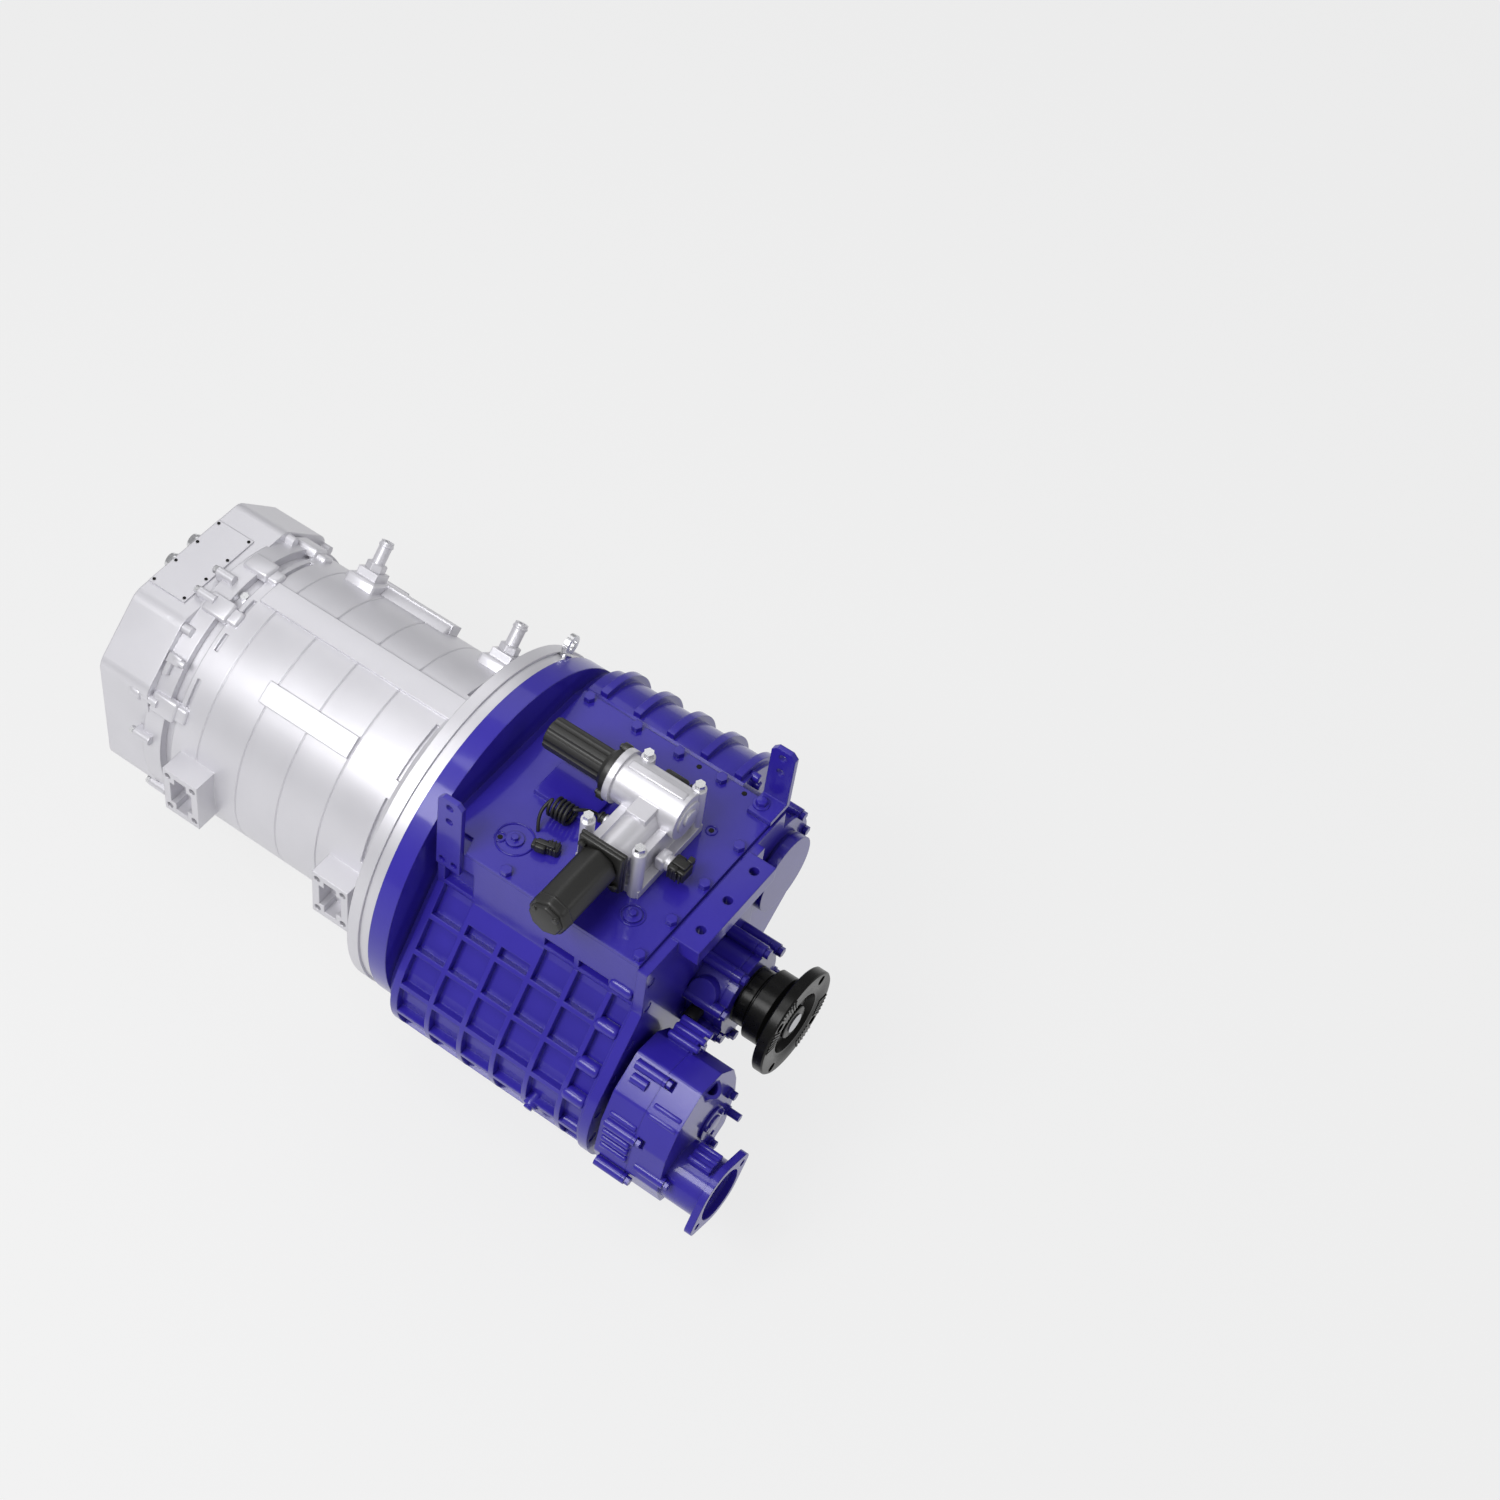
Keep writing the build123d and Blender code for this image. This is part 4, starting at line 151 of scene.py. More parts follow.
def finish_cast_aluminium():
    material, tree = new_finish("cast_aluminium_blasted")
    place = add(tree, "ShaderNodeTexCoord", {}).outputs["Object"]
    patches = add(tree, "ShaderNodeTexNoise", {"Vector": place, "Scale": cells(PATCH_WIDTH),
                                               "Detail": 3.0})
    pits = add(tree, "ShaderNodeTexNoise", {"Vector": place, "Scale": cells(PIT_WIDTH), "Detail": 2.0})
    tone = add(tree, "ShaderNodeMix", {"Factor": patches.outputs["Fac"], "A": linear("#D0CFD4"),
                                       "B": linear("#E0DFE4")}, data_type="RGBA")
    rough = add(tree, "ShaderNodeMapRange", {"Value": patches.outputs["Fac"],
                                             "To Min": 0.34, "To Max": 0.44})
    bump = add(tree, "ShaderNodeBump", {"Normal": rounded_edges(tree, 2.2),
                                        "Height": pits.outputs["Fac"],
                                        "Strength": 0.25, "Distance": 0.00025})
    shader = add(tree, "ShaderNodeBsdfPrincipled", {"Base Color": tone.outputs["Result"], "Metallic": 0.5,
                                                    "Roughness": rough.outputs["Result"],
                                                    "Normal": bump.outputs["Normal"]})
    add(tree, "ShaderNodeOutputMaterial", {"Surface": shader.outputs["BSDF"]})
    return material


cast_aluminium = finish_cast_aluminium()
print("made", cast_aluminium.name)

# %% [markdown]
# ## Blue enamel on a casting
# The gearbox is cast too, but sprayed with an ultramarine enamel. Enamel is a hard glossy film,
# so it has a clear coat that catches white light along every rounded edge. The casting under it
# is still a little wavy, and the film is a shade darker in broad patches. The edges of a painted
# casting are rounder than those of a bare one, so the turn over each edge is wider here.

# %% Finish: ultramarine enamel
WAVE_WIDTH = 4.17
POOL_WIDTH = 71.4


def finish_blue_enamel():
    material, tree = new_finish("ultramarine_enamel")
    place = add(tree, "ShaderNodeTexCoord", {}).outputs["Object"]
    waves = add(tree, "ShaderNodeTexNoise", {"Vector": place, "Scale": cells(WAVE_WIDTH), "Detail": 2.0})
    pools = add(tree, "ShaderNodeTexNoise", {"Vector": place, "Scale": cells(POOL_WIDTH), "Detail": 3.0})
    tone = add(tree, "ShaderNodeMix", {"Factor": pools.outputs["Fac"], "A": linear("#281C92"),
                                       "B": linear("#3428A6")}, data_type="RGBA")
    bump = add(tree, "ShaderNodeBump", {"Normal": rounded_edges(tree, 3.4),
                                        "Height": waves.outputs["Fac"],
                                        "Strength": 0.22, "Distance": 0.0006})
    shader = add(tree, "ShaderNodeBsdfPrincipled", {"Base Color": tone.outputs["Result"],
                                                    "Roughness": 0.38, "IOR": 1.34,
                                                    "Coat Weight": 0.7, "Coat Roughness": 0.1,
                                                    "Coat IOR": 1.4, "Normal": bump.outputs["Normal"]})
    add(tree, "ShaderNodeOutputMaterial", {"Surface": shader.outputs["BSDF"]})
    return material


blue_enamel = finish_blue_enamel()
print("made", blue_enamel.name)

# %% [markdown]
# ## Steel, zinc, copper
# Bolts are zinc plated, which is bright and very slightly blotched. Shafts and gears are turned
# steel with fine tool marks that run round the axis. Laminations are dull sheets, stacked along
# the axis. Both are a wave texture with its bands across X, because X is the axis of the shafts.
# The windings are copper wire under clear enamel, with slanting bands for the strands.

# %% Finish: zinc plated steel
BLOTCH_WIDTH = 4.55


def finish_zinc():
    material, tree = new_finish("zinc_plated_steel")
    place = add(tree, "ShaderNodeTexCoord", {}).outputs["Object"]
    blotch = add(tree, "ShaderNodeTexNoise", {"Vector": place, "Scale": cells(BLOTCH_WIDTH),
                                              "Detail": 3.0})
    tone = add(tree, "ShaderNodeMix", {"Factor": blotch.outputs["Fac"], "A": linear("#C9CACD"),
                                       "B": linear("#EDEDEE")}, data_type="RGBA")
    rough = add(tree, "ShaderNodeMapRange", {"Value": blotch.outputs["Fac"],
                                             "To Min": 0.2, "To Max": 0.36})
    shader = add(tree, "ShaderNodeBsdfPrincipled", {"Base Color": tone.outputs["Result"], "Metallic": 1.0,
                                                    "Roughness": rough.outputs["Result"]})
    add(tree, "ShaderNodeOutputMaterial", {"Surface": shader.outputs["BSDF"]})
    return material


zinc = finish_zinc()
print("made", zinc.name)


# %% Finish: turned steel
# The marks of a fine cut lie some tenths of a millimetre apart. These are coarser, so that they show.
TOOL_MARK_STEP = 1.21


def finish_turned_steel():
    material, tree = new_finish("turned_steel")
    place = add(tree, "ShaderNodeTexCoord", {}).outputs["Object"]
    marks = add(tree, "ShaderNodeTexWave", {"Vector": place, "Scale": bands(TOOL_MARK_STEP),
                                            "Distortion": 0.4}, bands_direction="X")
    tone = add(tree, "ShaderNodeMix", {"Factor": marks.outputs["Fac"], "A": linear("#9A9BA0"),
                                       "B": linear("#B9BABF")}, data_type="RGBA")
    bump = add(tree, "ShaderNodeBump", {"Height": marks.outputs["Fac"],
                                        "Strength": 0.12, "Distance": 0.0002})
    shader = add(tree, "ShaderNodeBsdfPrincipled", {"Base Color": tone.outputs["Result"], "Metallic": 1.0,
                                                    "Roughness": 0.3, "Normal": bump.outputs["Normal"]})
    add(tree, "ShaderNodeOutputMaterial", {"Surface": shader.outputs["BSDF"]})
    return material


turned_steel = finish_turned_steel()
print("made", turned_steel.name)


# %% Finish: laminated electrical sheet
# The sheets are half a millimetre thick. The bands are coarser, so that they show.
SHEET_STEP = 3.93


def finish_laminations():
    material, tree = new_finish("laminated_electrical_steel")
    place = add(tree, "ShaderNodeTexCoord", {}).outputs["Object"]
    sheets = add(tree, "ShaderNodeTexWave", {"Vector": place, "Scale": bands(SHEET_STEP)},
                 bands_direction="X")
    tone = add(tree, "ShaderNodeMix", {"Factor": sheets.outputs["Fac"], "A": linear("#55575A"),
                                       "B": linear("#7C7E82")}, data_type="RGBA")
    shader = add(tree, "ShaderNodeBsdfPrincipled", {"Base Color": tone.outputs["Result"], "Metallic": 0.8,
                                                    "Roughness": 0.55})
    add(tree, "ShaderNodeOutputMaterial", {"Surface": shader.outputs["BSDF"]})
    return material


laminations = finish_laminations()
print("made", laminations.name)


# %% Finish: enamelled copper wire
# The wire is about a millimetre thick. The bands are coarser, so that they show. Because they
# slant across all three axes, they come out 15 % wider than this.
STRAND_STEP = 2.86


def finish_copper_wire():
    material, tree = new_finish("enamelled_copper_wire")
    place = add(tree, "ShaderNodeTexCoord", {}).outputs["Object"]
    strands = add(tree, "ShaderNodeTexWave", {"Vector": place, "Scale": bands(STRAND_STEP),
                                              "Distortion": 1.5}, bands_direction="DIAGONAL")
    tone = add(tree, "ShaderNodeMix", {"Factor": strands.outputs["Fac"], "A": linear("#8A3F1E"),
                                       "B": linear("#C87A4A")}, data_type="RGBA")
    shader = add(tree, "ShaderNodeBsdfPrincipled", {"Base Color": tone.outputs["Result"], "Metallic": 0.7,
                                                    "Roughness": 0.35, "Coat Weight": 0.4})
    add(tree, "ShaderNodeOutputMaterial", {"Surface": shader.outputs["BSDF"]})
    return material


copper_wire = finish_copper_wire()
print("made", copper_wire.name)

# %% [markdown]
# ## Black things
# Three blacks look different in the picture. The output flange is forged steel with a phosphate
# coat, nearly black and satin. Motors and connectors are glass-filled nylon, duller and with a
# faint grain from the mould. The lead has a soft rubber jacket that hardly shines. Black alone
# would look flat, so each has a little noise between two near blacks, and its own roughness.

# %% Finish: phosphated forged steel
# The crystals are far too small to see. The noise stands for the patches in which they lie.
CRYSTAL_WIDTH = 2.38


def finish_phosphate():
    material, tree = new_finish("phosphated_forged_steel")
    place = add(tree, "ShaderNodeTexCoord", {}).outputs["Object"]
    crystals = add(tree, "ShaderNodeTexNoise", {"Vector": place, "Scale": cells(CRYSTAL_WIDTH),
                                                "Detail": 3.0})
    tone = add(tree, "ShaderNodeMix", {"Factor": crystals.outputs["Fac"], "A": linear("#0B0B0B"),
                                       "B": linear("#1A1A19")}, data_type="RGBA")
    bump = add(tree, "ShaderNodeBump", {"Normal": rounded_edges(tree, 1.2),
                                        "Height": crystals.outputs["Fac"],
                                        "Strength": 0.2, "Distance": 0.0003})
    shader = add(tree, "ShaderNodeBsdfPrincipled", {"Base Color": tone.outputs["Result"], "Metallic": 0.1,
                                                    "Roughness": 0.27, "IOR": 1.28,
                                                    "Normal": bump.outputs["Normal"]})
    add(tree, "ShaderNodeOutputMaterial", {"Surface": shader.outputs["BSDF"]})
    return material


phosphate = finish_phosphate()
print("made", phosphate.name)


# %% Finish: glass-filled nylon
# The grain of the mould is a few tenths of a millimetre wide, and drawn coarser, so that it shows.
GRAIN_WIDTH = 1.43


def finish_black_nylon():
    material, tree = new_finish("glass_filled_nylon_black")
    place = add(tree, "ShaderNodeTexCoord", {}).outputs["Object"]
    grain = add(tree, "ShaderNodeTexNoise", {"Vector": place, "Scale": cells(GRAIN_WIDTH), "Detail": 2.0})
    tone = add(tree, "ShaderNodeMix", {"Factor": grain.outputs["Fac"], "A": linear("#151514"),
                                       "B": linear("#262624")}, data_type="RGBA")
    bump = add(tree, "ShaderNodeBump", {"Normal": rounded_edges(tree, 0.8),
                                        "Height": grain.outputs["Fac"],
                                        "Strength": 0.15, "Distance": 0.0002})
    shader = add(tree, "ShaderNodeBsdfPrincipled", {"Base Color": tone.outputs["Result"],
                                                    "Roughness": 0.42, "IOR": 1.53,
                                                    "Normal": bump.outputs["Normal"]})
    add(tree, "ShaderNodeOutputMaterial", {"Surface": shader.outputs["BSDF"]})
    return material


black_nylon = finish_black_nylon()
print("made", black_nylon.name)


# %% Finish: rubber jacket
BLOOM_WIDTH = 6.25


def finish_rubber():
    material, tree = new_finish("rubber_jacket_black")
    place = add(tree, "ShaderNodeTexCoord", {}).outputs["Object"]
    bloom = add(tree, "ShaderNodeTexNoise", {"Vector": place, "Scale": cells(BLOOM_WIDTH), "Detail": 3.0})
    tone = add(tree, "ShaderNodeMix", {"Factor": bloom.outputs["Fac"], "A": linear("#101010"),
                                       "B": linear("#242423")}, data_type="RGBA")
    shader = add(tree, "ShaderNodeBsdfPrincipled", {"Base Color": tone.outputs["Result"],
                                                    "Roughness": 0.5, "IOR": 1.52})
    add(tree, "ShaderNodeOutputMaterial", {"Surface": shader.outputs["BSDF"]})
    return material


rubber = finish_rubber()
print("made", rubber.name)

# %% [markdown]
# ## One finish for every CAD part
# The record names a material slot for each node. A short table maps those slots to the finishes
# above, so no node is missed and a new node gets its finish by itself.

# %% Give every CAD node its finish
FINISHES = {
    "bare_cast_aluminium": cast_aluminium,
    "blue_enamel": blue_enamel,
    "zinc_plated_steel": zinc,
    "machined_steel": turned_steel,
    "lamination_steel": laminations,
    "copper_winding": copper_wire,
    "phosphated_steel": phosphate,
    "black_plastic": black_nylon,
    "black_rubber": rubber,
}
slot_of = {part["node"]: part["material_slot"] for part in frame["record"]["subparts"]}


def dress(obj, material):
    if not obj.data.materials:
        obj.data.materials.append(material)
    for slot in obj.material_slots:
        slot.material = material


for name, obj in frame["nodes"].items():
    dress(obj, FINISHES[slot_of[name]])
print("finished", len(frame["nodes"]), "CAD nodes")

# %% [markdown]
# ## Makers for small pieces
# Every new piece starts from a bmesh shape and ends the same way: doubles merged, faces turned
# outwards, smooth shading that stops at sharp edges, a finish, and the body that it moves with.
# One function does that ending. The others each add one common shape to a bmesh.

# %% Finish a shape and hang it on its body
body_of = {n: b for b, nodes in frame["record"]["behaviour"]["bodies"].items() for n in nodes}


def smooth(piece, angle=34.0):
    """Shades a piece round, except across edges sharper than the angle."""
    for face in piece.data.polygons:
        face.use_smooth = True
    piece.data.set_sharp_from_angle(angle=radians(angle))


def finished(shape, name, slot, body="housing", stands_for=()):
    """Makes the shape an object with its finish, on its body and in place of its CAD nodes."""
    bmesh.ops.remove_doubles(shape, verts=shape.verts, dist=1e-6)
    bmesh.ops.recalc_face_normals(shape, faces=shape.faces)
    mesh = bpy.data.meshes.new(name)
    shape.to_mesh(mesh)
    shape.free()
    piece = bpy.data.objects.new(name, mesh)
    bpy.context.scene.collection.objects.link(piece)
    smooth(piece)
    dress(piece, FINISHES[slot])
    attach(piece, body)
    if stands_for:
        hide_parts(*stands_for)
    return piece


print("bodies known for", len(body_of), "nodes")


# %% Rods, slabs and turned shapes
def round_edges(shape, verts, width, steps=3, sharp=30.0):
    """Bevels the edges between these vertices that are sharper than an angle. A dict keeps each
    edge once and in order, where a set would bevel them in another order each run."""
    chosen = set(verts)
    between = dict.fromkeys(e for v in verts for e in v.link_edges if e.other_vert(v) in chosen)
    edges = [e for e in between if e.calc_face_angle(0.0) > radians(sharp)]
    bmesh.ops.bevel(shape, geom=edges, offset=mm(width), offset_type="OFFSET", segments=steps,
                    profile=0.5, affect="EDGES", clamp_overlap=True, material=-1)


def rod_between(shape, start, end, radius, end_radius=None, sides=32, rounding=0.0):
    start, end = at(*start), at(*end)
    axis = end - start
    turn = axis.to_track_quat("Z", "Y").to_matrix().to_4x4()
    place = Matrix.Translation((start + end) / 2) @ turn
    made = bmesh.ops.create_cone(shape, cap_ends=True, segments=sides, radius1=mm(radius),
                                 radius2=mm(end_radius or radius), depth=axis.length, matrix=place)
    if rounding:
        round_edges(shape, made["verts"], rounding)


def rods_along(shape, y, z, *rods):
    """Rods on one line along the shafts. Each is (start, end, radius, sides, rounding)."""
    for start, end, radius, sides, rounding in rods:
        rod_between(shape, (start, y, z), (end, y, z), radius, sides=sides, rounding=rounding)


def slab(shape, low, high, rounding=1.5):
    low, high = at(*low), at(*high)
    size = high - low
    place = Matrix.Translation((low + high) / 2) @ Matrix.Diagonal((*size, 1))
    made = bmesh.ops.create_cube(shape, size=1.0, matrix=place)
    round_edges(shape, made["verts"], rounding)


def turned(shape, profile, place, axis=(1, 0, 0), steps=64):
    """Spins a profile of (distance along the axis, radius) once round the axis."""
    axis = Vector(axis).normalized()
    side = axis.orthogonal().normalized()
    centre = at(*place)
    verts = [shape.verts.new(centre + axis * mm(x) + side * mm(r)) for x, r in profile]
    edges = [shape.edges.new(pair) for pair in zip(verts, verts[1:])]
    bmesh.ops.spin(shape, geom=verts + edges, cent=centre, axis=axis, angle=2 * pi, steps=steps,
                   use_merge=True)


print("makers ready")

# %% [markdown]
# ## Coiled lead
# A short sensor lead leaves the shift actuator through a rubber ring, runs back along the cover
# and is wound into five turns before it drops to the cover. Its line is one NURBS curve: the
# turns are a loop of control points on a circle, pushed out a little because the curve cuts
# inside its corners, and the two runs are listed points.

# %% Coiled lead
LEAD_THICK = 5.0
COIL_TURNS = 5
COIL_POINTS = 12
COIL_RADIUS = 13.4
COIL_START, COIL_END = 136.0, 168.0
COIL_CENTRE = (-52.5, 219.0)
LEAD_EXIT = (195.0, -28.0, 219.0)


def lead_route():
    reach = COIL_RADIUS / cos(pi / COIL_POINTS) ** 2
    turns = []
    for k in range(COIL_TURNS * COIL_POINTS + 1):
        share = k / (COIL_TURNS * COIL_POINTS)
        angle = 2 * pi * k / COIL_POINTS
        y = COIL_CENTRE[0] + reach * sin(angle)
        z = COIL_CENTRE[1] + reach * cos(angle)
        turns.append((COIL_END + (COIL_START - COIL_END) * share, y, z))
    run_in = [LEAD_EXIT, (189, -29, 221), (184, -35, 228), (177, -44, 233.5)]
    run_out = [(133, -63, 230), (131, -72, 222), (133, -80, 213), (137, -86, 204), (139, -88, 199.5)]
    return run_in + turns + run_out


def coiled_lead():
    points = lead_route()
    line = bpy.data.curves.new("coiled_lead", "CURVE")
    line.dimensions = "3D"
    line.bevel_depth = mm(LEAD_THICK / 2)
    line.bevel_resolution = 4
    line.resolution_u = 6
    line.use_fill_caps = True
    spline = line.splines.new("NURBS")
    spline.points.add(len(points) - 1)
    for point, place in zip(spline.points, points):
        point.co = (*at(*place), 1.0)
    spline.order_u = 3
    spline.use_endpoint_u = True
    lead = bpy.data.objects.new("sensor_lead", line)
    bpy.context.scene.collection.objects.link(lead)
    dress(lead, rubber)
    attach(lead, "housing")
    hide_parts("coiled_lead")
    return lead


def curve_length(curve):
    copy = curve.data.copy()
    copy.bevel_depth = 0.0
    holder = bpy.data.objects.new("measure", copy)
    mesh = bpy.data.meshes.new_from_object(holder)
    ends = [[mesh.vertices[i].co for i in edge.vertices] for edge in mesh.edges]
    total = sum((start - end).length for start, end in ends)
    bpy.data.objects.remove(holder)
    bpy.data.meshes.remove(mesh)
    return total


lead = coiled_lead()
lead_length = curve_length(lead)
print("lead is", round(lead_length * 1000), "mm long in", COIL_TURNS, "turns")


# %% The ring where the lead leaves the actuator
GROOVED_RING = [(0, 3), (0, 7.5), (1, 8.5), (3, 8.5), (4, 7), (6, 7), (7, 8.5), (9, 8.5), (9, 0)]
THROAT = [(0, 0), (0, 3.6), (4, 3.6), (4, 0)]


def lead_ring():
    _, y, z = LEAD_EXIT
    shape = bmesh.new()
    turned(shape, GROOVED_RING, (196, y, z), steps=32)
    turned(shape, THROAT, (194, y, z), steps=24)
    return finished(shape, "lead_ring", "black_rubber")


def lead_stub():
    _, y, z = LEAD_EXIT
    shape = bmesh.new()
    rod_between(shape, (204, y, z), (221, y, z), 8.0, rounding=1.0)
    slab(shape, (205, y - 8, 212), (221, y + 8, z), 1.0)
    return finished(shape, "lead_stub", "bare_cast_aluminium")


print("made", lead_ring().name, "and", lead_stub().name)

# %% [markdown]
# ## The two small motors
# Two black motors drive the shift. The one along the shafts is a can with flat flutes in its wall,
# which show as pale stripes; the one across is an eight-sided moulding. The flutes come from
# pulling some of a circle's points inwards before it is drawn out along the axis.

# %% Fluted shift motor
MOTOR_Y, MOTOR_Z = 17.0, 262.0


def fluted_can(shape, start, end, radius, flutes, depth, per_flute=6):
    start, end = at(*start), at(*end)
    turn = (end - start).to_track_quat("Z", "Y").to_matrix().to_4x4()
    made = bmesh.ops.create_circle(shape, cap_ends=True, segments=flutes * per_flute, radius=mm(radius),
                                   matrix=Matrix.Translation(start) @ turn)
    ring = made["verts"]
    for i, vert in enumerate(ring):
        if i % per_flute in (0, 1):
            vert.co += (start - vert.co).normalized() * mm(depth)
    face = next(f for f in shape.faces if len(f.verts) == len(ring) and set(f.verts) == set(ring))
    drawn = bmesh.ops.extrude_face_region(shape, geom=[face])
    far = [v for v in drawn["geom"] if isinstance(v, bmesh.types.BMVert)]
    bmesh.ops.translate(shape, verts=far, vec=end - start)


def shift_motor():
    shape = bmesh.new()
    fluted_can(shape, (178, MOTOR_Y, MOTOR_Z), (80, MOTOR_Y, MOTOR_Z), 24.0, 9, 2.2)
    rod_between(shape, (82, MOTOR_Y, MOTOR_Z), (78, MOTOR_Y, MOTOR_Z), 20.5, rounding=1.2)
    rod_between(shape, (178, MOTOR_Y, MOTOR_Z), (190, MOTOR_Y, MOTOR_Z), 33.0, rounding=1.5, sides=48)
    rod_between(shape, (172, MOTOR_Y, MOTOR_Z), (179, MOTOR_Y, MOTOR_Z), 26.0, 29.0, sides=48)
    for y, z in ((MOTOR_Y + 24, MOTOR_Z + 24), (MOTOR_Y - 27, MOTOR_Z - 22)):
        rods_along(shape, y, z, (178, 190, 8.0, 32, 1.2), (174, 179, 4.5, 6, 0.5))
    return finished(shape, "shift_motor_can", "black_plastic", stands_for=["shift_motor"])


print("made", shift_motor().name)


# %% Eight-sided select motor
SELECT_X, SELECT_Z = 257.0, 262.0


def select_motor():
    x, z = SELECT_X, SELECT_Z
    shape = bmesh.new()
    rod_between(shape, (x, -118, z), (x, -230, z), 31.0, sides=8, rounding=5.0)
    rod_between(shape, (x, -229, z), (x, -236, z), 27.0, 25.5, sides=8, rounding=3.0)
    rod_between(shape, (x, -214, z), (x, -217, z), 31.6, sides=8, rounding=1.0)
    slab(shape, (x - 35, -118, z - 41), (x + 35, -111, z + 33), 3.0)
    slab(shape, (x - 36, -112, z - 42), (x + 36, -106, z + 34), 2.0)
    for side, up in ((1, -1), (-1, -1), (-1, 1)):
        bolt_x, bolt_z = x + 27 * side, z + 25 * up - 4
        rod_between(shape, (bolt_x, -118, bolt_z), (bolt_x, -123, bolt_z), 6.5, sides=6, rounding=0.8)
    for knob_x in (x - 17, x + 17):
        rod_between(shape, (knob_x, -232, z + 14), (knob_x, -238, z + 14), 4.5, rounding=0.8)
    return finished(shape, "select_motor_body", "black_plastic", stands_for=["select_motor"])


print("made", select_motor().name)

# %% [markdown]
# ## Connectors
# Moulded connectors are small boxes with ribs, a raised collar and a latch. A subdivided cage
# would come out softer than a moulding is, so each is built of slabs with rounded edges.

# %% Actuator connectors
FRONT_Y = (-50.0, -22.0)
FRONT_Z = (214.0, 238.0)


def front_connector(shape):
    y0, y1 = FRONT_Y
    z0, z1 = FRONT_Z
    slab(shape, (319, y0, z0), (334, y1, z1), 3.0)
    slab(shape, (332, y0 + 2, z0 + 2), (345, y1 - 2, z1 - 2), 2.5)
    slab(shape, (322, y0 + 7, z1 - 1), (343, y1 - 7, z1 + 4), 1.5)
    slab(shape, (336, y1 - 7, z1 - 6), (344, y1 + 3, z1 + 5), 1.5)
    for k in range(4):
        slab(shape, (321 + 6 * k, y0 - 1.5, z0 + 3), (323.5 + 6 * k, y0 + 1, z1 - 3), 0.6)


def right_connector(shape):
    slab(shape, (232, 48, 234), (270, 72, 258), 5.0)
    slab(shape, (268, 50, 238), (288, 68, 255), 4.0)
    slab(shape, (240, 52, 255), (262, 66, 262), 3.0)
    slab(shape, (218, 46, 240), (234, 62, 255), 4.0)
    for k in range(3):
        slab(shape, (272 + 5 * k, 49, 237), (274.5 + 5 * k, 69, 256), 0.8)


def actuator_connectors():
    shape = bmesh.new()
    front_connector(shape)
    right_connector(shape)
    return finished(shape, "actuator_plugs", "black_plastic", stands_for=["actuator_connectors"])


def connector_barrel():
    y, z = sum(FRONT_Y) / 2, sum(FRONT_Z) / 2
    shape = bmesh.new()
    slab(shape, (298, y - 12, z - 12), (313, y + 12, z + 10), 3.0)
    rod_between(shape, (311, y, z), (320, y, z), 11.5, sides=40, rounding=1.0)
    return finished(shape, "connector_barrel", "bare_cast_aluminium")


print("made", actuator_connectors().name, "and", connector_barrel().name)


# %% Small sensor plug on the cover
def cover_sensor():
    shape = bmesh.new()
    slab(shape, (166, -113, 199.5), (186, -97, 214), 2.5)
    slab(shape, (153, -118, 203), (169, -101, 216), 2.5)
    slab(shape, (148, -116, 205), (155, -103, 214), 1.5)
    slab(shape, (152, -112, 215), (180, -106, 219), 1.2)
    for k in range(3):
        slab(shape, (171 + 5 * k, -114, 202), (173 + 5 * k, -96, 215), 0.6)
    turn = Matrix.Rotation(radians(14), 4, "Z")
    bmesh.ops.rotate(shape, verts=shape.verts, cent=at(168, -108, 205), matrix=turn)
    return finished(shape, "cover_sensor", "black_plastic")


print("made", cover_sensor().name)

# %% [markdown]
# ## Output flange
# The flange is forged and turned. Behind it are two steps: a narrow ring that runs in the seal,
# and a wider hub with a chamfer. Its face is deeply recessed round the nut, and two opposite
# sectors of the rim are cut with cross teeth, which lock it to the flange of the shaft. A turned
# piece is a spun profile, so each step is a pair of points. The bolt holes don't lie on the axis,
# so a Boolean cuts them, and the teeth are small blocks set on the face.

# %% Turned flange with its holes
FLANGE_RADIUS = 82.5
FACE_RECESS = 48.0
BORE_RADIUS = 26.5
HOLE_CIRCLE = 70.0
HOLE_RADIUS = 7.5

# Each profile point is a distance from the face and a radius.
SEAL_RING = [(-77, BORE_RADIUS), (-77, 43), (-76, 44), (-60, 44), (-59, 42), (-56, 42)]
HUB = [(-55, 52), (-53.5, 54), (-30, 54), (-24, 47), (-20, 47), (-17, 49)]
RIM = [(-17, 81), (-15.5, FLANGE_RADIUS), (-2, FLANGE_RADIUS), (0, 80.5)]
RECESS = [(0, FACE_RECESS + 8), (-2, FACE_RECESS + 4), (-2, FACE_RECESS), (-13, FACE_RECESS - 4)]


def cut_away(piece, cutters):
    """Takes the cutters' shape out of a piece, for good."""
    mesh = bpy.data.meshes.new("hole_cutters")
    cutters.to_mesh(mesh)
    cutters.free()
    holder = bpy.data.objects.new("hole_cutters", mesh)
    bpy.context.scene.collection.objects.link(holder)
    cut = piece.modifiers.new("holes", "BOOLEAN")
    cut.operation, cut.object, cut.solver = "DIFFERENCE", holder, "EXACT"
    seen = piece.evaluated_get(bpy.context.evaluated_depsgraph_get())
    result = bpy.data.meshes.new_from_object(seen)
    piece.modifiers.clear()
    piece.data = result
    bpy.data.objects.remove(holder)
    smooth(piece)


